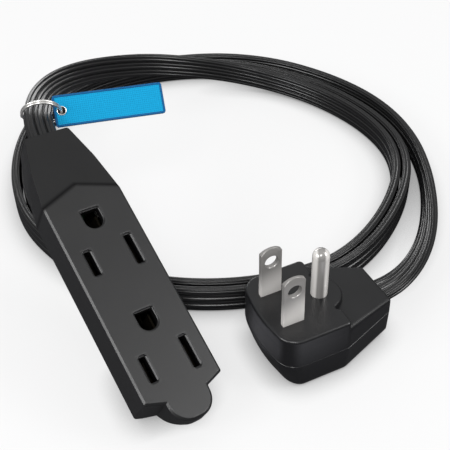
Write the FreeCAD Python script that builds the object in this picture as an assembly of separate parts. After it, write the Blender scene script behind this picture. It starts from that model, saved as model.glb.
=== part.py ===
import FreeCAD, Part
import math
import os

from FreeCAD import Placement, Rotation, Vector

# Flat plug extension cord, in millimetres.
# The origin is on the flat back of the plug, under the middle between the two blades.
# +Z runs along the prongs, +X from the blades to the ground pin and the cord,
# +Y from the line blade to the neutral blade.

# Prongs
BLADE_SPACING = 12.7
BLADE_WIDTH = 6.35
BLADE_THICK = 1.5
BLADE_OUT = 16.5
BLADE_ARCH = 1.5
BLADE_TIP_THICK = 0.8
BLADE_BEVEL = 1.2
BLADE_HOLE_DIA = 4.0
BLADE_HOLE_AT = 11.9
GROUND_OFFSET = 11.9
PIN_DIA = 4.8
PIN_OUT = 16.0
PIN_ROOT_DIA = 4.0
PIN_TAIL_DIA = 2.6

# Plug moulding
PLUG_THICK = 19.0
HEAD_HALF = 14.2
HEAD_LEFT = 7.5
HEAD_SIDE_IN = 2.1
HEAD_RIGHT = 14.5
HEAD_CORNER = 6.0
HEAD_PARTING_Z = 9.6
GRIP_START_X = 13.4
GRIP_END_X = 30.5
GRIP_START_HALF = 14.1
GRIP_START_FOOT = 2.3
GRIP_END_HALF = 6.9
GRIP_START_TOP = 17.3
GRIP_END_TOP = 14.4
GRIP_END_LOW = 1.7
GRIP_END_FOOT = 1.0
GRIP_TOP_LEAN = 0.3
PIN_BOSS_R = 6.7
PIN_BOSS_DEPTH = 6.0
NOTCH_LONG = 3.2
NOTCH_WIDE = 1.3

# Inside the plug
BRIDGE_LOW = 11.4
BRIDGE_HIGH = 16.4
BRIDGE_MARGIN = 3.0
CRIMP_R = 1.75
CRIMP_LONG = 6.0
CRIMP_BITE = 0.5
WIRE_R = 0.75
LEAD_R = 1.2
LEAD_STRAIGHT = 5.0
LEAD_STEP_DEG = 20.0
CORD_IN_PLUG_X = 20.0

# Flat cord
CORD_WIDE = 8.6
CORD_THICK = 3.0
CORD_EDGE = 0.9
CORD_EXIT_Z = 9.6
CORD_STEP_DEG = 14.0

# Outlet block, in its own frame: X across, Y to the neck, Z = 0 on the top face,
# origin midway between the two blade slots of the outlet nearer the neck
BLOCK_END_Y = -40.4
BLOCK_NOTCH_X = 6.9
BLOCK_NOTCH_Y = -42.3
TONGUE_HALF = 5.9
TONGUE_TIP_Y = -48.9
TONGUE_CORNER = 5.6
TONGUE_THICK = 3.8
RAMP_LONG = 9.8
NECK_FLOOR = 2.2
SHOULDER_Y = 19.0
WAIST_HALF = 9.7
WAIST_Y = 31.0
NECK_HALF = 6.7
NECK_END_Y = 42.0
COVER_DEPTH = 11.1
BASE_DEPTH = 9.6
BLOCK_DEPTH = COVER_DEPTH + BASE_DEPTH
BEVEL_SLOPE = 0.40
BLOCK_WALL = 1.7
BLOCK_ROOF = 2.4
BLOCK_FLOOR = 1.4
TOP_EDGE_BEVEL = 0.6
CHEVRON_RISE = 4.0
NECK_STEP = 0.6
NECK_FALL = 0.6
OUTLET_PITCH = 32.2
SLOT_WIDE = 1.9
HOT_SLOT_LONG = 7.3
NEUTRAL_SLOT_LONG = 9.1
GROUND_HOLE_WIDE = 5.3
GROUND_HOLE_FLAT = 3.1
MOUTH_BEVEL = 0.5
GROUND_BEVEL = 0.4
MOUTH_DEEP = 0.9
CORD_IN_BLOCK_Y = 31.0
CORD_IN_BLOCK_Z = -5.6

# Contact strips
STRIP_THICK = 0.6
STRIP_WIDE = 4.2
STRIP_ROOM = 0.36
POST_HIGH = 4.1
STRIP_LOW = -BLOCK_DEPTH + BLOCK_FLOOR + POST_HIGH
STRIP_HIGH = STRIP_LOW + STRIP_WIDE
LEAF_HIGH = -BLOCK_ROOF - 2.6
STRIP_FROM_Y = -36.0
STRIP_TO_Y = 17.5
LEAF_PINCH = 0.45
LEAF_ROOM = 0.4
LEAF_SLACK = 0.35
STRIP_REACH = BLADE_SPACING / 2.0 + BLADE_THICK / 2.0 + LEAF_SLACK + STRIP_THICK
BLOCK_HALF = STRIP_REACH + STRIP_ROOM + BLOCK_WALL + BEVEL_SLOPE * (-COVER_DEPTH - STRIP_LOW)
POST_WIDE = 1.3
POST_LONG = 2.4
POST_FROM_SLOTS = 8.0
POST_MID_SHIFT = 1.5
BLOCK_LEAD_R = 1.1

# Screws and clamp
SCREW_R = 1.2
SCREW_HEAD_R = 2.1
SCREW_HEAD_HIGH = 1.2
SCREW_LONG = 9.0
SCREW_PLAY = 0.15
BOSS_R = 1.9
PAD_HIGH = 2.1
BOSS_SEAT_Z = -BLOCK_DEPTH + BLOCK_FLOOR + PAD_HIGH
PAD_R = 3.0
CLAMP_LONG = 4.0
CLAMP_HALF = 5.8
CLAMP_THICK = 2.3
CLAMP_Y = 34.0
CLAMP_ROOM = 1.5
NECK_WALL = 1.16

# How the block lies: its tongue end on the floor, its neck end held up by the stiff cord
BLOCK_X = -37.5
BLOCK_Y = 25.5
BLOCK_YAW = 6.0
BLOCK_PITCH = 26.8
BLOCK_ROLL = 6.85
BLOCK_TURN = (
    Rotation(Vector(0, 0, 1), BLOCK_YAW)
    * Rotation(Vector(1, 0, 0), BLOCK_PITCH)
    * Rotation(Vector(0, 1, 0), BLOCK_ROLL)
)

# Tag
TAG_LONG = 33.5
TAG_HIGH = 9.7
TAG_THICK = 1.1
TAG_BORDER = 0.8
TAG_CORNER = 0.8
TAG_ALONG = (0.980, -0.170, -0.045)
TAG_FACING = (-0.20, -0.70, 0.68)
EYELET_R = 1.45
EYELET_HOLE_R = 1.1
EYELET_LIP = 0.15
EYELET_IN = 2.35
RING_R = 5.9
RING_WIRE_R = 0.36
RING_PLAY = 0.25
RING_TILT = 30.0
RING_TURNS = 1.97
RING_AT = (-38.2, 83.0, 47.4)

# Route of the cord's centre line from the plug to the block. Each point is x, y, z and
# the bank in degrees: 0 lies flat, 90 stands on edge. Both ends are worked out below.
EDGE_Z = CORD_WIDE / 2.0
ROUTE_FROM_PLUG = [
    (34.0, 0.0, CORD_EXIT_Z, 8), (44.5, 3.4, 9.0, 28), (54.3, 9.8, 8.0, 46), (63.8, 18.8, 6.9, 62),
    (73.3, 31.0, 5.7, 76), (82.3, 45.6, EDGE_Z + 0.2, 87),
]
ROUTE_COIL = [
    (88.8, 62.0), (91.3, 80.0), (89.0, 98.0), (81.8, 116.0), (70.5, 133.0), (55.0, 146.0),
    (37.5, 153.6), (19.0, 157.5), (0.0, 157.0), (-17.5, 150.5), (-30.5, 138.5), (-40.8, 122.0),
    (-47.2, 103.0), (-48.9, 84.0), (-44.6, 66.0), (-37.6, 50.0), (-28.0, 37.0), (-15.5, 27.6),
    (-1.0, 20.8), (14.0, 17.2), (29.0, 16.5), (44.0, 21.2), (57.5, 29.4), (69.5, 39.8),
    (78.8, 51.5), (84.2, 66.0), (84.7, 82.0), (81.4, 98.0), (75.3, 113.5), (65.5, 128.5),
    (52.5, 141.5), (36.5, 150.0), (18.5, 154.0), (0.5, 153.5), (-15.5, 147.6), (-27.8, 136.2),
    (-37.6, 120.3), (-43.7, 102.4), (-45.5, 84.4), (-41.4, 67.2), (-34.6, 51.8), (-25.6, 39.4),
    (-13.7, 30.6), (0.2, 24.1), (14.6, 20.6), (28.5, 19.9), (42.3, 24.2), (55.5, 32.2),
    (67.0, 42.2), (75.8, 53.3), (80.8, 66.7), (81.3, 81.7), (78.2, 97.0),
]
ROUTE_TO_BLOCK = [
    (71.8, 112.0, EDGE_Z + 0.3, 90), (61.5, 125.5, 5.6, 90), (48.0, 134.5, 8.5, 88), (33.0, 138.5, 12.5, 85),
    (17.0, 138.0, 18.0, 80), (2.0, 133.2, 23.5, 74), (-11.0, 124.0, 30.0, 65), (-22.3, 112.2, 36.5, 54),
    (-31.0, 98.8, 42.5, 38), (-37.5, 85.5, 47.0, 18),
]


def on_level(z):
    """Places a plan point at one height."""
    return lambda x, y: Vector(x, y, z)


def on_station(x):
    """Places a point given as y, z on the plane at one x."""
    return lambda y, z: Vector(x, y, z)


def inset_corners(corners, inset):
    """Moves every side of a counter-clockwise outline inwards; radii shrink outside, grow inside."""
    count = len(corners)
    moved = []
    for i in range(count):
        ax, ay, _ = corners[i - 1]
        bx, by, radius = corners[i]
        cx, cy, _ = corners[(i + 1) % count]
        first = Vector(bx - ax, by - ay, 0).normalize()
        second = Vector(cx - bx, cy - by, 0).normalize()
        cross = first.x * second.y - first.y * second.x
        bisector = Vector(-first.y - second.y, first.x + second.x, 0).normalize()
        reach = inset / max(0.2, bisector.x * -first.y + bisector.y * first.x)
        new_radius = radius - inset if cross > 0 else radius + inset
        moved.append((bx + bisector.x * reach, by + bisector.y * reach, max(new_radius, 0.25)))
    return moved


def corner_arcs(corners):
    """Centre, start, middle and end of the tangent arc at every corner of an outline."""
    count = len(corners)
    arcs = []
    for i in range(count):
        ax, ay, _ = corners[i - 1]
        bx, by, radius = corners[i]
        cx, cy, _ = corners[(i + 1) % count]
        here = Vector(bx, by, 0)
        back = Vector(ax - bx, ay - by, 0).normalize()
        ahead = Vector(cx - bx, cy - by, 0).normalize()
        half = back.getAngle(ahead) / 2.0
        reach = radius / math.tan(half)
        centre = here + (back + ahead).normalize() * (radius / math.sin(half))
        middle = centre + (here - centre).normalize() * radius
        arcs.append((centre, here + back * reach, middle, here + ahead * reach))
    return arcs


def outline_wire(corners, place):
    """A closed wire with a tangent arc at every corner."""
    arcs = corner_arcs(corners)
    edges = []
    for i, (_, start, middle, end) in enumerate(arcs):
        one, two, three = [place(spot.x, spot.y) for spot in (start, middle, end)]
        following = arcs[(i + 1) % len(arcs)][1]
        edges.append(Part.Arc(one, two, three).toShape())
        edges.append(Part.LineSegment(three, place(following.x, following.y)).toShape())
    return Part.Wire(edges)


def closed(points):
    """A closed wire through corners."""
    return Part.makePolygon(points + [points[0]])


def soft_corners(corners, place, parts):
    """Corners of an outline whose round corners are worked in short flats, for soft mouldings."""
    points = []
    for centre, start, _, end in corner_arcs(corners):
        first = start - centre
        turn = first.getAngle(end - centre)
        cross = first.x * (end.y - centre.y) - first.y * (end.x - centre.x)
        for k in range(parts + 1):
            spin = Rotation(Vector(0, 0, 1), math.copysign(math.degrees(turn), cross) * k / parts)
            spot = centre + spin.multVec(first)
            points.append(place(spot.x, spot.y))
    return points


def soft_wire(corners, place, parts):
    """The same as a closed wire."""
    return closed(soft_corners(corners, place, parts))


def skinned(rings):
    """A solid through matching rings of corners; a panel that twists is folded in two."""
    panels = [rings[0], rings[-1]]
    for low, high in zip(rings, rings[1:]):
        for k in range(len(low)):
            a, b, c, d = low[k - 1], low[k], high[k], high[k - 1]
            out_of_flat = (b - a).cross(d - a).normalize().dot(c - a)
            panels += [[a, b, c, d]] if abs(out_of_flat) < 1e-6 else [[a, b, c], [a, c, d]]
    solid = Part.Solid(Part.Shell([Part.Face(closed(panel)) for panel in panels]))
    if solid.Volume < 0:
        solid.reverse()
    return solid


def mirrored(right_side):
    """Completes an outline from its right half, given from the bottom up."""
    left = [(-x, y, r) for x, y, r in reversed(right_side)]
    return right_side + left


def prism(corners, low, high):
    """An outline with rounded corners, extruded between two heights."""
    face = Part.Face(outline_wire(corners, on_level(low)))
    return face.extrude(Vector(0, 0, high - low))


def soft_prism(corners, low, high):
    """The same with its corners worked in short flats."""
    face = Part.Face(soft_wire(corners, on_level(low), 3))
    return face.extrude(Vector(0, 0, high - low))


def stacked(corners, levels):
    """A moulding through inset copies of one outline; each level is height and inset."""
    return skinned([soft_corners(inset_corners(corners, inset), on_level(z), 5) for z, inset in levels])


def box_between(low, high):
    """A box between two corners."""
    size = [b - a for a, b in zip(low, high)]
    return Part.makeBox(size[0], size[1], size[2], Vector(*low))


def cylinder(radius, start, end):
    """A round bar from one point to another."""
    start = Vector(*start)
    axis = Vector(*end) - start
    return Part.makeCylinder(radius, axis.Length, start, axis)


def rod(radius, start, end):
    """A bar with many flats, for round pieces that stay out of sight."""
    start = Vector(*start)
    axis = Vector(*end) - start
    aside = Vector(0, 0, 1) if abs(axis.z) < 0.9 * axis.Length else Vector(1, 0, 0)
    first = axis.cross(aside).normalize()
    second = first.cross(axis).normalize()
    return Part.Face(closed(ring_corners(start, first, second, radius, 16))).extrude(axis)


def side_profile(points, half_width):
    """A side view, given as y and z, extruded across X."""
    corners = [Vector(-half_width, y, z) for y, z in points]
    face = Part.Face(Part.makePolygon(corners + [corners[0]]))
    return face.extrude(Vector(2.0 * half_width, 0, 0))


def sheet_band(points, thick, low, high):
    """Bent sheet metal standing on edge: a plan line given a thickness, with mitred bends."""
    left, right = [], []
    for i, (x, y) in enumerate(points):
        before = Vector(x - points[i - 1][0], y - points[i - 1][1], 0) if i > 0 else None
        after = Vector(points[i + 1][0] - x, points[i + 1][1] - y, 0) if i + 1 < len(points) else None
        first = (before or after).normalize()
        second = (after or before).normalize()
        normal = Vector(-first.y - second.y, first.x + second.x, 0).normalize()
        reach = thick / 2.0 / (normal.x * -first.y + normal.y * first.x)
        left.append(Vector(x + normal.x * reach, y + normal.y * reach, low))
        right.append(Vector(x - normal.x * reach, y - normal.y * reach, low))
    ring = left + right[::-1]
    face = Part.Face(Part.makePolygon(ring + [ring[0]]))
    return face.extrude(Vector(0, 0, high - low))


def bend_radius(before, corner, after):
    """The largest tangent arc that two runs allow: 0.45 of the shorter one sets its reach."""
    back = before - corner
    ahead = after - corner
    turn = math.pi - back.getAngle(ahead)
    return 0.45 * min(back.Length, ahead.Length) / math.tan(turn / 2.0)


def bend_points(before, corner, after, step_deg):
    """Points along the tangent arc at one corner of a path, with their directions."""
    back = (before - corner)
    ahead = (after - corner)
    reach = 0.45 * min(back.Length, ahead.Length)
    back.normalize()
    ahead.normalize()
    turn = math.pi - back.getAngle(ahead)
    radius = reach / math.tan(turn / 2.0)
    centre = corner + (back + ahead).normalize() * (radius / math.cos(turn / 2.0))
    arm = (corner + back * reach) - centre
    axis = (back * -1.0).cross(ahead).normalize()
    count = max(1, math.ceil(math.degrees(turn) / step_deg))
    points = []
    for k in range(count + 1):
        spin = Rotation(axis, math.degrees(turn) * k / count)
        points.append((centre + spin.multVec(arm), spin.multVec(back * -1.0)))
    return points


def cord_stations(route):
    """Place, direction and bank at every station of the cord between two free ends."""
    spots = [Vector(x, y, z) for x, y, z, _ in route]
    banks = [bank for _, _, _, bank in route]
    stations = [(spots[0], (spots[1] - spots[0]).normalize(), banks[0])]
    for i in range(1, len(spots) - 1):
        bend = bend_points(spots[i - 1], spots[i], spots[i + 1], CORD_STEP_DEG)
        last = len(bend) - 1
        for k, (spot, way) in enumerate(bend):
            share = k / last
            before = banks[i] + (banks[i - 1] - banks[i]) * 0.5 * (1 - share) ** 2
            bank = before + (banks[i + 1] - banks[i]) * 0.5 * share ** 2
            stations.append((spot, way, bank))
    stations.append((spots[-1], (spots[-1] - spots[-2]).normalize(), banks[-1]))
    return stations


def cord_section(spot, way, bank):
    """The flat cord's outline across its path: a bar with its four long edges taken off."""
    level = way.cross(Vector(0, 0, 1)).normalize()
    upright = level.cross(way)
    angle = math.radians(bank)
    across = level * math.cos(angle) + upright * math.sin(angle)
    through = way.cross(across)
    wide = CORD_WIDE / 2.0
    thick = CORD_THICK / 2.0
    edge = CORD_EDGE
    flat = [
        (wide, thick - edge), (wide - edge, thick), (edge - wide, thick), (-wide, thick - edge),
        (-wide, edge - thick), (edge - wide, -thick), (wide - edge, -thick), (wide, edge - thick),
    ]
    return [spot + across * u + through * v for u, v in flat]


def cord_solid(stations):
    """The cord's solid through its stations."""
    return skinned([cord_section(*station) for station in stations])


def ring_corners(spot, first, second, radius, sides):
    """Corners of a regular polygon about a point, in the plane of two directions."""
    corners = []
    for k in range(sides):
        angle = 2.0 * math.pi * (k + 0.5) / sides
        corners.append(spot + first * (radius * math.cos(angle)) + second * (radius * math.sin(angle)))
    return corners


def round_lead(points, radius):
    """An insulated conductor along straight runs joined by tangent arcs."""
    stations = [(points[0], (points[1] - points[0]).normalize())]
    for i in range(1, len(points) - 1):
        stations += bend_points(points[i - 1], points[i], points[i + 1], LEAD_STEP_DEG)
    stations.append((points[-1], (points[-1] - points[-2]).normalize()))
    sections = []
    for spot, way in stations:
        level = way.cross(Vector(0, 0, 1)).normalize()
        sections.append(ring_corners(spot, level, level.cross(way), radius, 10))
    return skinned(sections)


# The plug


def head_outline():
    """Plan of the plug's head at its parting line: a rounded block with a bulging left side."""
    side = [
        (HEAD_RIGHT, -HEAD_HALF, 1.6), (HEAD_RIGHT, HEAD_HALF, 1.6),
        (HEAD_SIDE_IN - HEAD_LEFT, HEAD_HALF, HEAD_CORNER), (-HEAD_LEFT, 0.0, 36.0),
        (HEAD_SIDE_IN - HEAD_LEFT, -HEAD_HALF, HEAD_CORNER),
    ]
    return side


def plug_head():
    """Head of the moulding: widest at the parting line, rounded to the back and to the face."""
    top = PLUG_THICK
    levels = [
        (0.0, 3.0), (0.6, 1.9), (2.0, 1.2), (HEAD_PARTING_Z, 0.0), (top - 1.4, 0.3), (top - 0.4, 0.65), (top, 1.2),
    ]
    return stacked(head_outline(), levels)


def grip_section(x, half, low, high, foot):
    """One cross-section of the grip: widest at the middle of the cord, leaning in to the back."""
    corners = mirrored([
        (half - foot, low, 0.8), (half, CORD_EXIT_Z, 4.0), (half - GRIP_TOP_LEAN, high, 0.8),
    ])
    return soft_wire(corners, on_station(x), 3)


def plug_grip():
    """The grip narrows to the cord, its top falling and its underside rising a little."""
    near_end = GRIP_END_X - 0.8
    sections = [
        grip_section(GRIP_START_X, GRIP_START_HALF, 0.4, GRIP_START_TOP, GRIP_START_FOOT),
        grip_section(near_end, GRIP_END_HALF, GRIP_END_LOW, GRIP_END_TOP, GRIP_END_FOOT),
        grip_section(GRIP_END_X, GRIP_END_HALF - 0.6, GRIP_END_LOW + 0.6, GRIP_END_TOP - 0.6, GRIP_END_FOOT),
    ]
    return Part.makeLoft(sections, True, True)


def pin_boss():
    """Round pad of the face about the ground pin."""
    low = PLUG_THICK - PIN_BOSS_DEPTH
    boss = cylinder(PIN_BOSS_R, (GROUND_OFFSET, 0, low), (GROUND_OFFSET, 0, PLUG_THICK))
    rim = [e for e in boss.Edges if abs(e.CenterOfMass.z - PLUG_THICK) < 0.01 and e.Closed]
    return boss.makeChamfer(0.5, rim)


def face_notch(side):
    """Small pocket where the round pad meets the straight edge of the face."""
    low = PLUG_THICK - 1.6
    pocket = box_between((-NOTCH_LONG / 2, -NOTCH_WIDE / 2, low), (NOTCH_LONG / 2, NOTCH_WIDE / 2, PLUG_THICK + 1))
    pocket.Placement = Placement(Vector(0, 0, 0), Rotation(Vector(0, 0, 1), side * 38.0))
    reach = HEAD_RIGHT - 0.6 - GROUND_OFFSET
    across = math.sqrt(PIN_BOSS_R ** 2 - reach ** 2)
    pocket.translate(Vector(GROUND_OFFSET + reach + 0.3, side * (across + 0.5), 0))
    return pocket


def blade(side):
    """A flat blade with an arched, bevelled tip and a round hole."""
    centre_y = side * BLADE_SPACING / 2.0
    half = BLADE_WIDTH / 2.0
    low = CORD_EXIT_Z + CRIMP_R - CRIMP_BITE
    top = PLUG_THICK + BLADE_OUT
    shoulder = top - BLADE_ARCH
    y = centre_y - BLADE_THICK / 2.0
    edges = [
        Part.LineSegment(Vector(-half, y, low), Vector(half, y, low)).toShape(),
        Part.LineSegment(Vector(half, y, low), Vector(half, y, shoulder)).toShape(),
        Part.Arc(Vector(half, y, shoulder), Vector(0, y, top), Vector(-half, y, shoulder)).toShape(),
        Part.LineSegment(Vector(-half, y, shoulder), Vector(-half, y, low)).toShape(),
    ]
    body = Part.Face(Part.Wire(edges)).extrude(Vector(0, BLADE_THICK, 0))
    thin = BLADE_TIP_THICK / 2.0
    thick = BLADE_THICK / 2.0
    wedge = side_profile([
        (centre_y - thick, low), (centre_y + thick, low), (centre_y + thick, top - BLADE_BEVEL),
        (centre_y + thin, top), (centre_y - thin, top), (centre_y - thick, top - BLADE_BEVEL),
    ], half)
    hole_z = PLUG_THICK + BLADE_HOLE_AT
    hole = cylinder(BLADE_HOLE_DIA / 2.0, (0, centre_y - BLADE_THICK, hole_z), (0, centre_y + BLADE_THICK, hole_z))
    return body.common(wedge).cut(hole)


def ground_pin():
    """The round ground pin with its domed tip, a narrower root in the moulding and a thin tail."""
    radius = PIN_DIA / 2.0
    x = GROUND_OFFSET
    low = BRIDGE_LOW + 0.8
    shoulder = PLUG_THICK + PIN_OUT - radius
    profile = [Vector(x, 0, PLUG_THICK)]
    for degrees in (0, 25, 48, 70, 90):
        angle = math.radians(degrees)
        profile.append(Vector(x + radius * math.cos(angle), 0, shoulder + radius * math.sin(angle)))
    profile[-1].x = x
    profile.insert(1, Vector(x + radius, 0, PLUG_THICK))
    half_section = Part.Face(Part.makePolygon(profile + [profile[0]]))
    shank = half_section.revolve(Vector(x, 0, 0), Vector(0, 0, 1), 360)
    root = rod(PIN_ROOT_DIA / 2.0, (x, 0, low), (x, 0, PLUG_THICK))
    tail = rod(PIN_TAIL_DIA / 2.0, (x, 0, CORD_EXIT_Z + CRIMP_R - CRIMP_BITE), (x, 0, low))
    return shank.fuse([root, tail])


def prong_bridge(prongs):
    """Hard inner carrier that keeps the three prongs at their spacing."""
    half = BLADE_SPACING / 2.0 + BRIDGE_MARGIN
    left = -BLADE_WIDTH / 2.0 - 1.4
    right = GROUND_OFFSET + PIN_ROOT_DIA / 2.0 + 1.8
    corners = [(right, -half, 1.5), (right, half, 1.5), (left, half, 1.5), (left, -half, 1.5)]
    return soft_prism(corners, BRIDGE_LOW, BRIDGE_HIGH).cut(prongs)


def crimp(start_x, y, prong):
    """Crimp barrel on a prong's tail, with the bare wire in its bore."""
    start = (start_x, y, CORD_EXIT_Z)
    end = (start_x + CRIMP_LONG, y, CORD_EXIT_Z)
    return rod(CRIMP_R, start, end).cut(rod(WIRE_R, start, end)).cut(prong)


def plug_lead(start_x, y, cord_y):
    """Insulated conductor from the cord's inner end to a crimp, with its bare end."""
    z = CORD_EXIT_Z
    barrel_end = start_x + CRIMP_LONG
    bare = rod(WIRE_R, (start_x + 0.5, y, z), (barrel_end, y, z))
    if abs(y - cord_y) < 0.01:
        cover = rod(LEAD_R, (barrel_end, y, z), (CORD_IN_PLUG_X, y, z))
    else:
        points = [
            Vector(barrel_end, y, z), Vector(barrel_end + LEAD_STRAIGHT, y, z),
            Vector(CORD_IN_PLUG_X - LEAD_STRAIGHT, cord_y, z), Vector(CORD_IN_PLUG_X, cord_y, z),
        ]
        cover = round_lead(points, LEAD_R)
    return cover.fuse(bare)


def build_plug(cord):
    """All the plug's pieces; the moulding is cast about the others."""
    conductor = CORD_WIDE / 3.0
    line = blade(-1)
    neutral = blade(1)
    pin = ground_pin()
    blade_crimp_x = -1.5
    pin_crimp_x = GROUND_OFFSET - 2.6
    y = BLADE_SPACING / 2.0
    pieces = {
        "line_blade": line,
        "neutral_blade": neutral,
        "ground_pin": pin,
        "prong_bridge": prong_bridge([line, neutral, pin]),
        "line_crimp": crimp(blade_crimp_x, -y, line),
        "neutral_crimp": crimp(blade_crimp_x, y, neutral),
        "ground_crimp": crimp(pin_crimp_x, 0.0, pin),
        "plug_line_lead": plug_lead(blade_crimp_x, -y, -conductor),
        "plug_neutral_lead": plug_lead(blade_crimp_x, y, conductor),
        "plug_ground_lead": plug_lead(pin_crimp_x, 0.0, 0.0),
    }
    moulding = plug_head().fuse([plug_grip(), pin_boss()])
    moulding = moulding.cut([face_notch(-1), face_notch(1)])
    pieces["plug_body"] = moulding.cut(list(pieces.values()) + [cord])
    return pieces


# The outlet block, in its own frame


def block_outline():
    """Plan of the block without its tongue: straight sides, then the narrowing neck."""
    return mirrored([
        (BLOCK_NOTCH_X - 0.6, BLOCK_NOTCH_Y, 0.6), (BLOCK_HALF, BLOCK_END_Y, 0.8),
        (BLOCK_HALF, SHOULDER_Y, 8.0), (WAIST_HALF, WAIST_Y, 16.0), (NECK_HALF, NECK_END_Y, 0.8),
    ])


def tongue_outline():
    """Plan of the rounded finger tab at the near end."""
    return mirrored([
        (TONGUE_HALF, TONGUE_TIP_Y, TONGUE_CORNER), (BLOCK_NOTCH_X - 0.3, BLOCK_NOTCH_Y + 1.6, 0.4),
    ])


def outer_side_view():
    """Side view of the block: thin tongue, raised tongue end, flat base, rising neck."""
    clamp_low = CORD_IN_BLOCK_Z - CORD_THICK / 2 - CLAMP_THICK
    return [
        (TONGUE_TIP_Y - 2, 2.0), (TONGUE_TIP_Y - 2, -TONGUE_THICK), (TONGUE_TIP_Y + 0.6, -TONGUE_THICK),
        (BLOCK_NOTCH_Y, -COVER_DEPTH + 1.6), (BLOCK_END_Y, -COVER_DEPTH - BASE_DEPTH * 0.1),
        (BLOCK_END_Y + 1.2, -COVER_DEPTH - BASE_DEPTH * 0.44), (BLOCK_END_Y + RAMP_LONG, -BLOCK_DEPTH),
        (SHOULDER_Y - 5.0, -BLOCK_DEPTH), (WAIST_Y - 1.0, clamp_low - CLAMP_ROOM - NECK_WALL),
        (NECK_END_Y + 1, CORD_IN_BLOCK_Z - CORD_THICK / 2 - NECK_FLOOR), (NECK_END_Y + 1, 2.0),
    ]


def inner_side_view():
    """Side view of the hollow; it ends at the neck wall that grips the cord."""
    cord_top = CORD_IN_BLOCK_Z + CORD_THICK / 2
    cord_low = CORD_IN_BLOCK_Z - CORD_THICK / 2
    floor = BLOCK_FLOOR - BLOCK_DEPTH
    wall = BLOCK_WALL
    return [
        (BLOCK_END_Y + wall, -BLOCK_ROOF), (BLOCK_END_Y + wall, -COVER_DEPTH - BASE_DEPTH * 0.1),
        (BLOCK_END_Y + 1.2 + wall, -COVER_DEPTH - BASE_DEPTH * 0.38), (BLOCK_END_Y + RAMP_LONG + 0.6, floor),
        (SHOULDER_Y - 5.6, floor), (WAIST_Y - 2.4, cord_low - CLAMP_THICK - CLAMP_ROOM),
        (NECK_END_Y - 3.5, cord_low - CLAMP_THICK + 0.1), (NECK_END_Y - 3.5, cord_top),
        (CORD_IN_BLOCK_Y - 1.0, cord_top), (CORD_IN_BLOCK_Y - 4.0, -BLOCK_ROOF - 0.8),
        (SHOULDER_Y, -BLOCK_ROOF - 0.8), (SHOULDER_Y - 2.0, -BLOCK_ROOF),
    ]


def bevelled_block(margin, top, low):
    """Upright walls above the seam and walls that lean inwards below it."""
    outline = inset_corners(block_outline(), margin)
    lean = (-COVER_DEPTH - low) * BEVEL_SLOPE
    upper = prism(outline, -COVER_DEPTH, top)
    lower = Part.makeLoft([
        outline_wire(outline, on_level(-COVER_DEPTH)),
        outline_wire(inset_corners(outline, lean), on_level(low)),
    ], True, True)
    return upper, lower


def round_top_edges(solid):
    """Takes the sharpness off the edges about the top face."""
    edges = [e for e in solid.Edges if all(abs(v.Z) < 1e-6 for v in e.Vertexes) and abs(e.CenterOfMass.z) < 1e-6]
    return solid.makeChamfer(TOP_EDGE_BEVEL, edges)


def neck_relief():
    """Space above the neck's lower top face, which starts at a rounded chevron."""
    corners = [
        (BLOCK_HALF + 3, NECK_END_Y + 2, 0.5), (-BLOCK_HALF - 3, NECK_END_Y + 2, 0.5),
        (-BLOCK_HALF - 3, SHOULDER_Y - CHEVRON_RISE * 3 / BLOCK_HALF, 0.5), (0.0, SHOULDER_Y + CHEVRON_RISE + 0.8, 6.0),
        (BLOCK_HALF + 3, SHOULDER_Y - CHEVRON_RISE * 3 / BLOCK_HALF, 0.5),
    ]
    slab = prism(corners, -4.0, 3.0)
    far_low = -NECK_STEP - NECK_FALL
    wedge = side_profile([
        (SHOULDER_Y - 4, -NECK_STEP), (NECK_END_Y + 2, far_low), (NECK_END_Y + 2, 2.5), (SHOULDER_Y - 4, 2.5),
    ], BLOCK_HALF + 2)
    return slab.common(wedge)


def block_hull():
    """Outside of the whole block, as one solid."""
    upper, lower = bevelled_block(0.0, 0.0, -BLOCK_DEPTH)
    tongue = prism(tongue_outline(), -COVER_DEPTH, 0.0)
    top = round_top_edges(upper.fuse(tongue).removeSplitter())
    view = side_profile(outer_side_view(), BLOCK_HALF + 2)
    return top.fuse(lower).common(view).cut(neck_relief())


def block_hollow():
    """Inside of the block."""
    upper, lower = bevelled_block(BLOCK_WALL, -BLOCK_ROOF + 0.5, -BLOCK_DEPTH + BLOCK_FLOOR)
    view = side_profile(inner_side_view(), BLOCK_HALF)
    return upper.fuse(lower).common(view)


def below_seam():
    """Everything under the seam, which climbs to the middle of the cord along the neck."""
    deep = -BLOCK_DEPTH - 5
    return side_profile([
        (TONGUE_TIP_Y - 5, deep), (NECK_END_Y + 5, deep), (NECK_END_Y + 5, CORD_IN_BLOCK_Z),
        (NECK_END_Y - 6, CORD_IN_BLOCK_Z), (SHOULDER_Y + 2, -COVER_DEPTH), (TONGUE_TIP_Y - 5, -COVER_DEPTH),
    ], BLOCK_HALF + 5)


def funnel(corners, spread, parts):
    """A hole through the roof with a bevelled mouth."""
    wide = inset_corners(corners, -spread)
    mouth = Part.makeLoft([
        soft_wire(corners, on_level(-MOUTH_DEEP), parts), soft_wire(wide, on_level(0.0), parts),
    ], True, True)
    lip = Part.Face(soft_wire(wide, on_level(0.0), parts)).extrude(Vector(0, 0, 0.5))
    shaft = Part.Face(soft_wire(corners, on_level(-BLOCK_ROOF - 1.0), parts))
    return mouth.fuse([shaft.extrude(Vector(0, 0, BLOCK_ROOF + 1.0 - MOUTH_DEEP)), lip])


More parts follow.
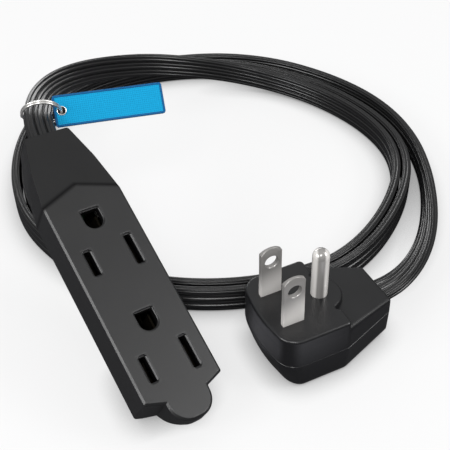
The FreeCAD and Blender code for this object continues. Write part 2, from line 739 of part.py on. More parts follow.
def outlet_holes(at_y):
    """The two blade slots and the D shaped ground hole of one outlet."""
    holes = []
    for side, long in ((-1, HOT_SLOT_LONG), (1, NEUTRAL_SLOT_LONG)):
        x = side * BLADE_SPACING / 2.0
        half = SLOT_WIDE / 2.0
        corners = [
            (x + half, at_y - long / 2, 0.3), (x + half, at_y + long / 2, 0.3),
            (x - half, at_y + long / 2, 0.3), (x - half, at_y - long / 2, 0.3),
        ]
        holes.append(funnel(corners, MOUTH_BEVEL, 1))
    half = GROUND_HOLE_WIDE / 2.0
    centre = at_y + GROUND_OFFSET
    ground = [
        (half, centre - half, half * 0.98), (half, centre + GROUND_HOLE_FLAT, 0.4),
        (-half, centre + GROUND_HOLE_FLAT, 0.4), (-half, centre - half, half * 0.98),
    ]
    holes.append(funnel(ground, GROUND_BEVEL, 5))
    return holes


def screw_places():
    """The two screws sit on the centre line, clear of the slots and the ground contacts."""
    return [(-OUTLET_PITCH + 5.6, 0.0), (0.0, 0.0)]


def screw(at_y, at_x):
    """A slotted pan-head screw driven in from below."""
    low = -BLOCK_DEPTH
    neck = low + SCREW_HEAD_HIGH
    head = rod(SCREW_HEAD_R, (at_x, at_y, low), (at_x, at_y, neck))
    slot = box_between((at_x - 1.6, at_y - 0.25, low - 1), (at_x + 1.6, at_y + 0.25, low + 0.5))
    shank = rod(SCREW_R, (at_x, at_y, neck), (at_x, at_y, neck + SCREW_LONG))
    return head.cut(slot).fuse(shank)


def contact_strip(line_x, side, half_gap, clip_half, clip_ys):
    """A brass strip on edge, with one U-bent spring clip at every outlet."""
    x = line_x + side * half_gap
    parts = [sheet_band([(x, STRIP_FROM_Y), (x, STRIP_TO_Y)], STRIP_THICK, STRIP_LOW, STRIP_HIGH)]
    for clip_y in clip_ys:
        far = clip_y - clip_half - LEAF_ROOM
        opposite = line_x - side * half_gap
        pinched = line_x - side * (half_gap - LEAF_PINCH)
        line = [
            (x, clip_y + clip_half), (x, far), (opposite, far), (pinched, clip_y), (opposite, clip_y + clip_half),
        ]
        parts.append(sheet_band(line, STRIP_THICK, STRIP_LOW, LEAF_HIGH))
    return parts[0].fuse(parts[1:]).removeSplitter()


def strip_offsets():
    """Where each strip stands: centre line, side, and half the gap of its clips."""
    blade_gap = BLADE_THICK / 2.0 + LEAF_SLACK + STRIP_THICK / 2.0
    pin_gap = PIN_DIA / 2.0 + 0.1 + STRIP_THICK / 2.0
    half = BLADE_SPACING / 2.0
    return {
        "line_bus": (-half, -1, blade_gap),
        "ground_bus": (0.0, 1, pin_gap),
        "neutral_bus": (half, 1, blade_gap),
    }


def support_posts():
    """Posts on the floor of the base that carry the three strips."""
    posts = []
    for line_x, side, gap in strip_offsets().values():
        x = line_x + side * gap
        for y in (POST_FROM_SLOTS - OUTLET_PITCH, POST_MID_SHIFT - OUTLET_PITCH / 2, POST_FROM_SLOTS):
            low = (x - POST_WIDE / 2, y - POST_LONG / 2, -BLOCK_DEPTH)
            high = (x + POST_WIDE / 2, y + POST_LONG / 2, STRIP_LOW)
            posts.append(box_between(low, high))
    return posts


def block_lead(strip_x, cord_x):
    """Conductor from the cord's inner end down to the end of its strip."""
    mid_z = (STRIP_LOW + STRIP_HIGH) / 2.0
    strip_end = STRIP_TO_Y
    start = Vector(cord_x, CORD_IN_BLOCK_Y, CORD_IN_BLOCK_Z)
    points = [
        start, Vector(cord_x, CORD_IN_BLOCK_Y - 4.0, CORD_IN_BLOCK_Z),
        Vector(strip_x, strip_end + 4.2, mid_z), Vector(strip_x, strip_end + 1.0, mid_z),
    ]
    bare = rod(WIRE_R, (strip_x, strip_end, mid_z), (strip_x, strip_end + 1.0, mid_z))
    return round_lead(points, BLOCK_LEAD_R).fuse(bare)


def build_block(cord):
    """All the block's pieces in the block's frame; the cord comes in the same frame."""
    hull = block_hull()
    shell = hull.cut(block_hollow())
    under = below_seam()
    outlets = (0.0, -OUTLET_PITCH)
    cover = shell.cut(under)
    for at_y in outlets:
        cover = cover.cut(outlet_holes(at_y))
    base = shell.common(under).fuse([post.common(hull) for post in support_posts()])
    roof = -BLOCK_ROOF - 0.01
    for at_y, at_x in screw_places():
        boss = rod(BOSS_R, (at_x, at_y, BOSS_SEAT_Z), (at_x, at_y, roof + 0.5))
        cover = cover.fuse(boss).cut(screw(at_y, at_x))
        pad = rod(PAD_R, (at_x, at_y, -BLOCK_DEPTH + 0.5), (at_x, at_y, BOSS_SEAT_Z))
        base = base.fuse(pad)
        hole = rod(SCREW_R + SCREW_PLAY, (at_x, at_y, -BLOCK_DEPTH - 1), (at_x, at_y, BOSS_SEAT_Z + 0.5))
        seat_top = -BLOCK_DEPTH + SCREW_HEAD_HIGH
        seat = rod(SCREW_HEAD_R + SCREW_PLAY, (at_x, at_y, -BLOCK_DEPTH - 1), (at_x, at_y, seat_top))
        base = base.cut([hole, seat])
    strips = strip_offsets()
    slot_ys = list(outlets)
    ground_ys = [y + GROUND_OFFSET for y in outlets]
    blade_half = BLADE_WIDTH / 2.0
    conductor = CORD_WIDE / 3.0
    clamp_top = CORD_IN_BLOCK_Z - CORD_THICK / 2.0
    pieces = {
        "outlet_cover": cover.cut(cord).removeSplitter(),
        "outlet_base": base.cut(cord).removeSplitter(),
        "line_bus": contact_strip(*strips["line_bus"], blade_half, slot_ys),
        "neutral_bus": contact_strip(*strips["neutral_bus"], blade_half, slot_ys),
        "ground_bus": contact_strip(*strips["ground_bus"], PIN_DIA / 2.0 + 0.3, ground_ys),
        "cord_clamp": box_between(
            (-CLAMP_HALF, CLAMP_Y - CLAMP_LONG / 2, clamp_top - CLAMP_THICK),
            (CLAMP_HALF, CLAMP_Y + CLAMP_LONG / 2, clamp_top)),
        "cover_screws": Part.makeCompound([screw(y, x) for y, x in screw_places()]),
    }
    for name, cord_x in (("line", -conductor), ("ground", 0.0), ("neutral", conductor)):
        line_x, side, gap = strips[name + "_bus"]
        pieces["block_" + name + "_lead"] = block_lead(line_x + side * gap, cord_x)
    return pieces


def block_place():
    """Turns the block as it lies and lifts it until its lowest corner is on the floor."""
    corners = []
    for y, z in outer_side_view():
        if z < -COVER_DEPTH:
            half = BLOCK_HALF - BEVEL_SLOPE * (-COVER_DEPTH - z)
            corners.append(BLOCK_TURN.multVec(Vector(half, y, z)))
    lift = -min(corner.z for corner in corners)
    return Placement(Vector(BLOCK_X, BLOCK_Y, lift), BLOCK_TURN)


# The cord


def full_route(place):
    """The whole route, with both ends worked out from the plug and the block."""
    start = [(CORD_IN_PLUG_X, 0.0, CORD_EXIT_Z, 0)]
    coil = [(x, y, EDGE_Z, 90) for x, y in ROUTE_COIL]
    ends = []
    for y, bank in ((NECK_END_Y + 4.5, BLOCK_ROLL), (CORD_IN_BLOCK_Y, BLOCK_ROLL)):
        spot = place.multVec(Vector(0, y, CORD_IN_BLOCK_Z))
        ends.append((spot.x, spot.y, spot.z, bank))
    return start + ROUTE_FROM_PLUG + coil + ROUTE_TO_BLOCK + ends


def build_cord(route):
    """The cord in three lengths that meet face to face on straight runs."""
    stations = cord_stations(route)
    spots = [Vector(x, y, z) for x, y, z, _ in route]
    first_cut = (spots[7] + spots[8]) * 0.5
    second_cut = (spots[-13] + spots[-14]) * 0.5
    cuts = []
    for cut in (first_cut, second_cut):
        distances = [(station[0] - cut).Length for station in stations]
        cuts.append(distances.index(min(distances)))
    lengths = {
        "cord_plug_end": stations[:cuts[0] + 1],
        "cord_loop": stations[cuts[0]:cuts[1] + 1],
        "cord_block_end": stations[cuts[1]:],
    }
    return {name: cord_solid(part) for name, part in lengths.items()}, stations


def report_route(route, stations, solids):
    """Prints the radii, the length and the volume against section times length."""
    spots = [Vector(x, y, z) for x, y, z, _ in route]
    radii = [bend_radius(spots[i - 1], spots[i], spots[i + 1]) for i in range(1, len(spots) - 1)]
    print("radii", [round(r) for r in radii])
    print("smallest radius", round(min(radii), 1))
    length = sum((b[0] - a[0]).Length for a, b in zip(stations, stations[1:]))
    section = CORD_WIDE * CORD_THICK - 2.0 * CORD_EDGE ** 2
    volume = sum(solid.Volume for solid in solids.values())
    print("cord length", round(length, 1), "section x length", round(section * length), "volume", round(volume))


# The tag and its ring


def ring_frame(stations):
    """Centre of the ring and its directions: across the cord, and up through the tag's eyelet."""
    target = Vector(*RING_AT)
    spot, way, _ = min(stations, key=lambda station: (station[0] - target).Length)
    side = way.cross(Vector(0, 0, 1)).normalize()
    lean = math.radians(RING_TILT)
    through = side.cross(way) * math.cos(lean) + way * math.sin(lean)
    shift = RING_R - RING_WIRE_R - RING_PLAY - CORD_WIDE / 2.0
    return spot - side * shift, side, through


def split_ring(centre, side, through):
    """Spring wire wound in two close turns about the cord."""
    axis = side.cross(through)
    pitch = 2.08 * RING_WIRE_R
    count = 36
    sections = []
    for k in range(count + 1):
        turned = 2.0 * math.pi * RING_TURNS * k / count
        outward = side * math.cos(turned) + through * math.sin(turned)
        rise = pitch * RING_TURNS * (k / count - 0.5)
        sections.append(ring_corners(centre + outward * RING_R + axis * rise, outward, axis, RING_WIRE_R, 6))
    return skinned(sections)


def tag_pieces(turn, corner):
    """Cloth, sewn border and metal eyelet of the tag; it lies along its own X and Y."""
    half = TAG_HIGH / 2.0
    outer = [(0, -half), (TAG_LONG, -half), (TAG_LONG, half), (0, half)]
    border_corners = [(x, y, TAG_CORNER) for x, y in outer]
    border_thick = TAG_THICK / 2.0
    cloth_thick = border_thick - 0.2
    window = inset_corners(border_corners, TAG_BORDER)
    border = soft_prism(border_corners, -border_thick, border_thick)
    border = border.cut(soft_prism(window, -border_thick, border_thick))
    cloth = soft_prism(window, -cloth_thick, cloth_thick)
    hole_at = (EYELET_IN, 0.0)
    lip = border_thick + EYELET_LIP
    bore = rod(EYELET_HOLE_R, (hole_at[0], 0, -lip), (hole_at[0], 0, lip))
    barrel = rod(EYELET_HOLE_R + 0.2, (hole_at[0], 0, -lip), (hole_at[0], 0, lip))
    flanges = []
    for side in (-1, 1):
        low, high = sorted((side * cloth_thick, side * lip))
        flanges.append(rod(EYELET_R, (hole_at[0], 0, low), (hole_at[0], 0, high)))
    eyelet = barrel.fuse(flanges).cut(bore)
    cloth = cloth.cut(rod(EYELET_HOLE_R + 0.2, (hole_at[0], 0, -lip), (hole_at[0], 0, lip)))
    pieces = {"tag_cloth": cloth, "tag_border": border, "tag_eyelet": eyelet}
    place = Placement(corner, turn)
    for shape in pieces.values():
        shape.Placement = place
    return pieces


def build_tag(stations):
    """The ring about the cord and the tag that hangs from it."""
    centre, side, through = ring_frame(stations)
    along = Vector(*TAG_ALONG).normalize()
    up = Vector(*TAG_FACING).cross(along).normalize()
    turn = Rotation(along, up, along.cross(up), "ZXY")
    pieces = tag_pieces(turn, centre - side * RING_R - along * EYELET_IN)
    pieces["split_ring"] = split_ring(centre, side, through)
    return pieces


def main():
    """Builds every piece and writes one file for each."""
    os.makedirs("parts", exist_ok=True)
    place = block_place()
    route = full_route(place)
    cords, stations = build_cord(route)
    report_route(route, stations, cords)
    pieces = build_plug(cords["cord_plug_end"])
    inside_block = cords["cord_block_end"].copy()
    inside_block.Placement = place.inverse()
    for name, shape in build_block(inside_block).items():
        shape.Placement = place
        pieces[name] = shape
    pieces.update(cords)
    pieces.update(build_tag(stations))
    for name, shape in pieces.items():
        print(name, "valid" if shape.isValid() else "INVALID", len(shape.Solids), round(shape.Volume, 1))
        shape.exportStep("parts/" + name + ".step")
    print("block at", place.Base)


main()
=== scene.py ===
"""Looks of a short flat extension cord: plug, coiled flat cord, outlet block and cloth tag."""

import math

import bpy
import numpy as np
from mathutils import Matrix, Vector


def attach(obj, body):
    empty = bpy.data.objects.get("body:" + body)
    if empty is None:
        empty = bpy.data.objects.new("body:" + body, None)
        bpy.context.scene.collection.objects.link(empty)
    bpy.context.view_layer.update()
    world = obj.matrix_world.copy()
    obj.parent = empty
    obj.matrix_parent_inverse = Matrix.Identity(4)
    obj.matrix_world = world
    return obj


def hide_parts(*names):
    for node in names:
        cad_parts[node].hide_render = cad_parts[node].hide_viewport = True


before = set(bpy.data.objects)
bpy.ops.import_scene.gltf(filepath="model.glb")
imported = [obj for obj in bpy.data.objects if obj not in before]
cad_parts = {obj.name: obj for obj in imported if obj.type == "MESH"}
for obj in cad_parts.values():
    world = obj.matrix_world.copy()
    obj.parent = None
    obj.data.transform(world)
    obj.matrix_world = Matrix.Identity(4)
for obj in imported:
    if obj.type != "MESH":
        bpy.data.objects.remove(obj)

bl_info = {
    "name": "Flat plug extension cord",
    "version": (1, 0, 0),
    "blender": (4, 5, 0),
    "location": "View3D > Sidebar > Flat Cord",
    "description": "Plug, coiled flat cord, outlet block and cloth tag with their materials and studio",
    "category": "Object",
}

# The cord's route in millimetres with its bank in degrees, the same points as the solid's route.
# In the coil the cord stands on edge, all at one height.
COIL_Z = 4.3
ROUTE_FROM_PLUG = [
    (20.0, 0.0, 9.6, 0), (34.0, 0.0, 9.6, 8), (44.5, 3.4, 9.0, 28), (54.3, 9.8, 8.0, 46),
    (63.8, 18.8, 6.9, 62), (73.3, 31.0, 5.7, 76), (82.3, 45.6, 4.5, 87),
]
ROUTE_COIL = [
    (88.8, 62.0), (91.3, 80.0), (89.0, 98.0), (81.8, 116.0), (70.5, 133.0), (55.0, 146.0),
    (37.5, 153.6), (19.0, 157.5), (0.0, 157.0), (-17.5, 150.5), (-30.5, 138.5), (-40.8, 122.0),
    (-47.2, 103.0), (-48.9, 84.0), (-44.6, 66.0), (-37.6, 50.0), (-28.0, 37.0), (-15.5, 27.6),
    (-1.0, 20.8), (14.0, 17.2), (29.0, 16.5), (44.0, 21.2), (57.5, 29.4), (69.5, 39.8),
    (78.8, 51.5), (84.2, 66.0), (84.7, 82.0), (81.4, 98.0), (75.3, 113.5), (65.5, 128.5),
    (52.5, 141.5), (36.5, 150.0), (18.5, 154.0), (0.5, 153.5), (-15.5, 147.6), (-27.8, 136.2),
    (-37.6, 120.3), (-43.7, 102.4), (-45.5, 84.4), (-41.4, 67.2), (-34.6, 51.8), (-25.6, 39.4),
    (-13.7, 30.6), (0.2, 24.1), (14.6, 20.6), (28.5, 19.9), (42.3, 24.2), (55.5, 32.2),
    (67.0, 42.2), (75.8, 53.3), (80.8, 66.7), (81.3, 81.7), (78.2, 97.0),
]
ROUTE_TO_BLOCK = [
    (71.8, 112.0, 4.6, 90), (61.5, 125.5, 5.6, 90), (48.0, 134.5, 8.5, 88), (33.0, 138.5, 12.5, 85),
    (17.0, 138.0, 18.0, 80), (2.0, 133.2, 23.5, 74), (-11.0, 124.0, 30.0, 65), (-22.3, 112.2, 36.5, 54),
    (-31.0, 98.8, 42.5, 38), (-37.5, 85.5, 47.0, 18),
]

# How the outlet block lies in the row's frame, in millimetres and degrees, and the cord's
# last two points in the block's own frame.
BLOCK_ORIGIN = (-37.5, 25.5, 32.98358)
BLOCK_TURNS = (6.0, 26.8, 6.85)
CORD_IN_BLOCK = (0.0, 31.0, -5.6)
NECK_RUN_END = (0.0, 46.5, -5.6)

# Plug and outlet share these, in millimetres: between the blades, and from them to the ground pin.
BLADE_SPACING = 12.7
GROUND_AT = 11.9

# The tag's ring in millimetres: centre, direction across the cord, direction through the eyelet.
RING_CENTRE = (-38.6838, 78.6144, 47.8022)
RING_SIDE = (-0.95159, 0.30738, 0.0)
RING_THROUGH = (-0.12200, -0.37768, 0.91786)

# The tag in millimetres: middle of its left edge, and its directions along and up.
TAG_BASE = (-35.3825, 77.2021, 47.9084)
TAG_ALONG = (0.98428, -0.17074, -0.04520)
TAG_UP = (0.14919, 0.66673, 0.73022)


def block_matrix():
    """Block frame to row frame, in millimetres: yaw, then pitch, then roll, then the origin."""
    yaw, pitch, roll = [math.radians(a) for a in BLOCK_TURNS]
    turn = Matrix.Rotation(yaw, 3, "Z") @ Matrix.Rotation(pitch, 3, "X")
    return np.array(turn @ Matrix.Rotation(roll, 3, "Y")), np.array(BLOCK_ORIGIN)


def full_route():
    """Every point of the route in metres, with the bank in degrees as a fourth column."""
    turn, origin = block_matrix()
    rows = ROUTE_FROM_PLUG + [(x, y, COIL_Z, 90) for x, y in ROUTE_COIL] + ROUTE_TO_BLOCK
    for spot in (NECK_RUN_END, CORD_IN_BLOCK):
        rows.append((*(turn @ np.array(spot) + origin), BLOCK_TURNS[2]))
    return np.array(rows, dtype=float) / (1000.0, 1000.0, 1000.0, 1.0)


# Mesh helpers


def unit(vectors):
    """Scales vectors to length one."""
    return vectors / np.linalg.norm(vectors, axis=-1, keepdims=True)


def full_turn(count):
    """Angles evenly round a circle."""
    return np.linspace(0, 2 * math.pi, count + 1)[:-1]


def circle(radius, angle, x=0.0):
    """Plan of a circle about a point on the X axis."""
    return np.column_stack([x + radius * np.cos(angle), radius * np.sin(angle)])


def at_height(plan, z):
    """A plan outline as a level ring of points."""
    return np.column_stack([plan, np.full(len(plan), z)])


def rim_levels(top, rim, first=0.0):
    """Heights and insets of a quarter round edge below a top."""
    turn = np.linspace(first, math.pi / 2, 8)
    return [(top - rim + rim * math.sin(a), rim * (1 - math.cos(a))) for a in turn]


def run_along(points):
    """Distance along a line of points, from its first point on."""
    return np.concatenate([[0.0], np.cumsum(np.linalg.norm(np.diff(points, axis=0), axis=1))])


def share_between(value, start, end):
    """How far a value has come on its way from start to end, from 0 to 1."""
    return np.clip((value - start) / (end - start), 0.0, 1.0)


class Builder:
    """Collects grids and caps, then makes one mesh object from them."""

    def __init__(self):
        self.points, self.uvs, self.faces = [], [], []
        self.count = 0

    def grid(self, points, wrap_rows=False, wrap_columns=True, slot=0, flip=False, uv=None):
        """Adds a grid of points with shape rows, columns, 3; either way may close on itself."""
        rows, columns = points.shape[:2]
        i = np.arange(rows if wrap_rows else rows - 1)
        j = np.arange(columns if wrap_columns else columns - 1)
        i, j = np.meshgrid(i, j, indexing="ij")
        here, ahead, beside = i * columns, (i + 1) % rows * columns, (j + 1) % columns
        faces = np.stack([here + j, ahead + j, ahead + beside, here + beside], -1).reshape(-1, 4)
        if uv is None:
            down, across = np.linspace(0, 1, rows), np.linspace(0, 1, columns)
            uv = np.stack(np.meshgrid(down, across, indexing="ij"), -1)
        self._add(points.reshape(-1, 3), faces, slot, uv.reshape(-1, 2), flip)

    def fan(self, ring, flip=False, centre=None):
        """Closes a ring of points with triangles about its middle."""
        count = len(ring)
        middle = ring.mean(axis=0) if centre is None else np.array(centre)
        k = np.arange(count)
        faces = np.stack([k, (k + 1) % count, np.full(count, count)], -1)
        self._add(np.vstack([ring, middle]), faces, 0, np.zeros((count + 1, 2)), flip)

    def closed(self, points, flip=False, uv=None, centre=None):
        """Adds a tube of rings with a cap at both ends, the last about a centre of its own."""
        self.grid(points, flip=flip, uv=uv)
        self.fan(points[0], flip=True)
        self.fan(points[-1], centre=centre)

    def _add(self, points, faces, slot, uv, flip):
        """Keeps one lot of points and faces."""
        if flip:
            faces = faces[:, ::-1]
        self.points.append(points)
        self.faces.append((faces + self.count, slot))
        self.uvs.append(uv)
        self.count += len(points)

    def build(self, name, materials, smooth_degrees=None):
        """Makes the object, in metres, with smooth shading."""
        points = np.vstack(self.points)
        sizes = np.concatenate([np.full(len(faces), faces.shape[1]) for faces, slot in self.faces])
        slots = np.concatenate([np.full(len(faces), slot) for faces, slot in self.faces])
        corners = np.concatenate([faces.reshape(-1) for faces, slot in self.faces])
        starts = np.concatenate([[0], np.cumsum(sizes)[:-1]])
        mesh = bpy.data.meshes.new(name)
        mesh.vertices.add(len(points))
        mesh.loops.add(len(corners))
        mesh.polygons.add(len(sizes))
        mesh.vertices.foreach_set("co", points.astype(np.float32).reshape(-1))
        mesh.loops.foreach_set("vertex_index", corners.astype(np.int32))
        mesh.polygons.foreach_set("loop_start", starts.astype(np.int32))
        mesh.polygons.foreach_set("material_index", slots.astype(np.int32))
        mesh.polygons.foreach_set("use_smooth", np.ones(len(sizes), dtype=bool))
        uv = np.vstack(self.uvs)[corners].astype(np.float32)
        mesh.uv_layers.new(name="surface").data.foreach_set("uv", uv.reshape(-1))
        mesh.update(calc_edges=True)
        mesh.validate()
        for material in materials:
            mesh.materials.append(material)
        if smooth_degrees is not None:
            mesh.set_sharp_from_angle(angle=math.radians(smooth_degrees))
        obj = bpy.data.objects.new(name, mesh)
        bpy.context.scene.collection.objects.link(obj)
        return obj


def rounded_outline(corners, inset, samples):
    """Points round an outline whose corners are tangent arcs, moved inwards by an inset.

    Each corner is x, y and radius. Every side moves in by the inset, the arcs shrink with it,
    and each arc gets the same number of points, so outlines with other insets match point by
    point. The plan is worked out in complex numbers, x + iy.
    """
    x, y, radius = np.array(corners, dtype=float).T
    here = x + 1j * y
    back, ahead = [side / abs(side) for side in (np.roll(here, 1) - here, np.roll(here, -1) - here)]
    bisector = (back + ahead) / abs(back + ahead)
    half = np.arccos(np.clip((back * ahead.conj()).real, -1, 1)) / 2.0
    outward = np.sign((ahead.conj() * back).imag)
    moved = here + bisector * outward * inset / np.sin(half)
    radius = np.maximum(radius - outward * inset, 0.1)
    centre = moved + bisector * radius / np.sin(half)
    first, last = [moved + way * radius / np.tan(half) - centre for way in (back, ahead)]
    turn = np.angle(last * first.conj())[:, None] * np.linspace(0, 1, samples)
    points = (centre[:, None] + first[:, None] * np.exp(1j * turn)).reshape(-1)
    return np.column_stack([points.real, points.imag])


# Shader helpers


def feed(tree, inputs, node="Principled BSDF"):
    """Fills a node's inputs, each with a plain value or from the socket that drives it."""
    sockets = tree.nodes[node].inputs
    for name, value in inputs.items():
        if isinstance(value, bpy.types.NodeSocket):
            tree.links.new(value, sockets[name])
        else:
            sockets[name].default_value = value


def add_node(tree, kind, output=None, inputs=None, **settings):
    """Adds a shader node with its settings and inputs, and gives the output named, or all of them."""
    node = tree.nodes.new("ShaderNode" + kind)
    for name, value in settings.items():
        setattr(node, name, value)
    feed(tree, inputs or {}, node.name)
    return node.outputs[output] if output else node.outputs


def add_math(tree, operation, *inputs):
    """Result of a Math node on numbers and sockets."""
    return add_node(tree, "Math", "Value", dict(enumerate(inputs)), operation=operation)


def add_vector(tree, operation, *inputs):
    """Result of a Vector Math node: a number for a dot product, or else a vector."""
    output = "Value" if operation == "DOT_PRODUCT" else "Vector"
    return add_node(tree, "VectorMath", output, dict(enumerate(inputs)), operation=operation)


def add_range(tree, value, start, end, low=0.0, high=1.0, kind="LINEAR"):
    """A value that runs from start to end, mapped to run from low to high."""
    inputs = {"Value": value, "From Min": start, "From Max": end, "To Min": low, "To Max": high}
    return add_node(tree, "MapRange", "Result", inputs, interpolation_type=kind)


def add_bump(tree, height, distance, **normal):
    """Normal of a bump, laid over another normal if there is one."""
    inputs = {"Height": height, "Distance": distance, "Strength": 1.0, **normal}
    return add_node(tree, "Bump", "Normal", inputs)


def add_noise(tree, place, scale, detail):
    """Value of a noise texture."""
    return add_node(tree, "TexNoise", "Fac", {"Vector": place, "Scale": scale, "Detail": detail})


def object_place(tree):
    """Object coordinates."""
    return add_node(tree, "TexCoord", "Object")


def surface_place(tree):
    """The piece's own UV."""
    return add_node(tree, "UVMap", "UV", uv_map="surface")


def fine_grain_group():
    """Shader group: two sizes of noise on object coordinates give a tone and a bumped normal."""
    name = "fine_grain"
    if name in bpy.data.node_groups:
        return bpy.data.node_groups[name]
    tree = bpy.data.node_groups.new(name, "ShaderNodeTree")
    for way, label, kind in (
        ("INPUT", "Scale", "Float"), ("INPUT", "Height", "Float"), ("OUTPUT", "Tone", "Float"),
        ("OUTPUT", "Normal", "Vector"), ("OUTPUT", "Grain", "Float"),
    ):
        tree.interface.new_socket(name=label, in_out=way, socket_type="NodeSocket" + kind)
    entry = tree.nodes.new("NodeGroupInput").outputs
    place = object_place(tree)
    small = add_noise(tree, place, entry["Scale"], detail=3.0)
    large = add_noise(tree, place, scale=90.0, detail=2.0)
    normal = add_bump(tree, small, entry["Height"])
    exit_node = tree.nodes.new("NodeGroupOutput")
    feed(tree, {"Tone": large, "Normal": normal, "Grain": small}, exit_node.name)
    return tree


def add_grain(tree, scale, height):
    """The shared fine grain, set for one material."""
    inputs = {"Scale": scale, "Height": height}
    return add_node(tree, "Group", None, inputs, node_tree=fine_grain_group())


def tinted(color, gain):
    """A colour made darker or lighter."""
    return [min(1.0, c * gain) for c in color]


def new_material(name, color, roughness, metallic=0.0):
    """A material and its tree; the plain values are on the principled shader's own sockets."""
    material = bpy.data.materials.new(name)
    material.use_nodes = True
    tree = material.node_tree
    feed(tree, {"Base Color": (*color, 1.0), "Roughness": roughness, "Metallic": metallic})
    material.diffuse_color = (*color, 1.0)
    return material, tree


def mix_tone(tree, tone, low, high):
    """Base colour runs between two tones of the material."""
    inputs = {"Factor": tone, "A": (*low, 1.0), "B": (*high, 1.0)}
    feed(tree, {"Base Color": add_node(tree, "Mix", "Result", inputs, data_type="RGBA")})


def plastic(name, color, roughness, scale, height, specular=0.5, spread=0.25):
    """Moulded plastic: fine spark-erosion grain, a slight drift of tone and of gloss."""
    material, tree = new_material(name, color, roughness)
    grain = add_grain(tree, scale, height)
    mix_tone(tree, grain["Tone"], tinted(color, 1.0 - spread), tinted(color, 1.0 + spread))
    drift = 0.05
    feed(tree, {
        "Normal": grain["Normal"],
        "Specular IOR Level": specular,
        "Roughness": add_range(tree, grain["Tone"], 0.0, 1.0, roughness - drift, roughness + drift),
    })
    return material


def cord_vinyl(color, roughness):
    """Cord jacket: extruded vinyl with fine draw lines that run along the cord."""
    material, tree = new_material("cord_vinyl", color, roughness)
    drawn_out = add_vector(tree, "MULTIPLY", surface_place(tree), (1.2, 90.0, 1.0))
    lines = add_noise(tree, drawn_out, scale=1.0, detail=2.0)
    grain = add_grain(tree, scale=2600.0, height=0.000003)
    feed(tree, {"Normal": add_bump(tree, lines, distance=0.000002, Normal=grain["Normal"])})
    mix_tone(tree, lines, tinted(color, 0.85), tinted(color, 1.15))
    return material


def plated_metal(name, color, roughness, brush_scale, metallic=0.8):
    """Plated metal: faint rolling lines along Z drive the gloss and a shallow bump."""
    material, tree = new_material(name, color, roughness, metallic)
    stretch = (brush_scale, brush_scale, brush_scale / 30.0)
    rolled = add_vector(tree, "MULTIPLY", object_place(tree), stretch)
    noise = add_noise(tree, rolled, scale=1.0, detail=3.0)
    gloss = add_range(tree, noise, 0.0, 1.0, roughness * 0.8, roughness * 1.3)
    feed(tree, {"Roughness": gloss, "Normal": add_bump(tree, noise, distance=0.000003)})
    return material


def paint_reflection_fade(material, low, high, color, low_gain, high_gain):
    """Painted reflection: the colour runs between two tones along Z, tilted by X, standing in for the
    surroundings that satin plate mirrors.
    """
    tree = material.node_tree
    slant = -0.35
    parts = add_node(tree, "SeparateXYZ", None, {"Vector": object_place(tree)})
    height = add_math(tree, "MULTIPLY_ADD", parts["X"], slant, parts["Z"])
    rise = add_range(tree, height, low, high, kind="SMOOTHSTEP")
    mix_tone(tree, rise, tinted(color, low_gain), tinted(color, high_gain))


def paint_pin_highlights(material, centre, radius, color):
    """Painted highlights on the round pin: two bright streaks along Z with a painted darker band between
    them, laid out across the camera's right direction in plan.
    """
    tree = material.node_tree
    # side_x and side_y are the camera's right direction in plan, across which the painted streaks lie.
    side_x, side_y, turns = 0.898, -0.439, 4.3
    shift = add_vector(tree, "SUBTRACT", object_place(tree), centre)
    across = add_vector(tree, "DOT_PRODUCT", shift, (side_x / radius, side_y / radius, 0.0))
    wave = add_math(tree, "COSINE", add_math(tree, "MULTIPLY", across, turns))
    rise = add_range(tree, wave, 0.3, -0.9, kind="SMOOTHSTEP")
    mix_tone(tree, rise, tinted(color, 0.4), tinted(color, 1.2))


def woven_cloth(name, color, threads_per_mm, depth, tone_spread):
    """Woven cloth on its own UV in millimetres: crossed waves make the threads."""
    material, tree = new_material(name, color, roughness=0.85)
    wave_length = 0.314  # the texture's own, at scale 1
    inputs = {"Vector": surface_place(tree), "Scale": threads_per_mm * wave_length}
    inputs.update({"Distortion": 0.4, "Detail": 1.0})
    threads = [add_node(tree, "TexWave", "Fac", inputs, bands_direction=way) for way in ("X", "Y")]
    cross = add_math(tree, "MAXIMUM", *threads)
    feed(tree, {
        "Normal": add_bump(tree, cross, depth),
        "Sheen Weight": 0.08,
        "Sheen Roughness": 0.4,
        "Specular IOR Level": 0.15,
    })
    mix_tone(tree, cross, tinted(color, 1.0 - tone_spread), color)
    return material


# Settings


def length_setting(name, description, default, low=0.0):
    """A length in metres."""
    return bpy.props.FloatProperty(
        name=name, description=description, default=default, min=low, unit="LENGTH")


def color_setting(name, description, default):
    """A linear colour."""
    return bpy.props.FloatVectorProperty(
        name=name, description=description, default=default, subtype="COLOR", size=3, min=0.0, max=1.0)


class FlatCordSettings(bpy.types.PropertyGroup):
    """Sizes and colour of the cord."""

    width: length_setting("Width", "Width of the flat cord", 0.0086, 0.004)
    thickness: length_setting("Thickness", "Thickness of the flat cord", 0.0030, 0.001)
    groove: length_setting("Groove", "Depth of the grooves between the lobes", 0.0004)
    rib: length_setting("Rib", "Depth of the fine creases between the ribs", 0.00026)
    color: color_setting("Colour", "Colour of the vinyl jacket", (0.005, 0.005, 0.0053))


class FlatPlugSettings(bpy.types.PropertyGroup):
    """Sizes and colours of the plug."""

    height: length_setting("Height", "From the flat back to the face", 0.019)
    rim: length_setting("Rim", "Radius of the soft edge round the face", 0.0008)
    color: color_setting("Colour", "Colour of the plug's vinyl", (0.0045, 0.0046, 0.0052))
    metal: color_setting("Metal", "Colour of the nickel plate", (0.66, 0.64, 0.62))


class OutletBlockSettings(bpy.types.PropertyGroup):
    """Colour and soft edges of the outlet block."""

    color: color_setting("Colour", "Colour of the moulded shells", (0.006, 0.006, 0.0063))
    edge_softness: length_setting("Edge softness", "Radius that the edges shade with", 0.0003)


class ClothTagSettings(bpy.types.PropertyGroup):
    """Colours of the tag."""

    face_color: color_setting("Face", "Colour of the woven face", (0.002, 0.24, 0.45))
    edge_color: color_setting("Edge", "Colour of the sewn border", (0.005, 0.088, 0.23))


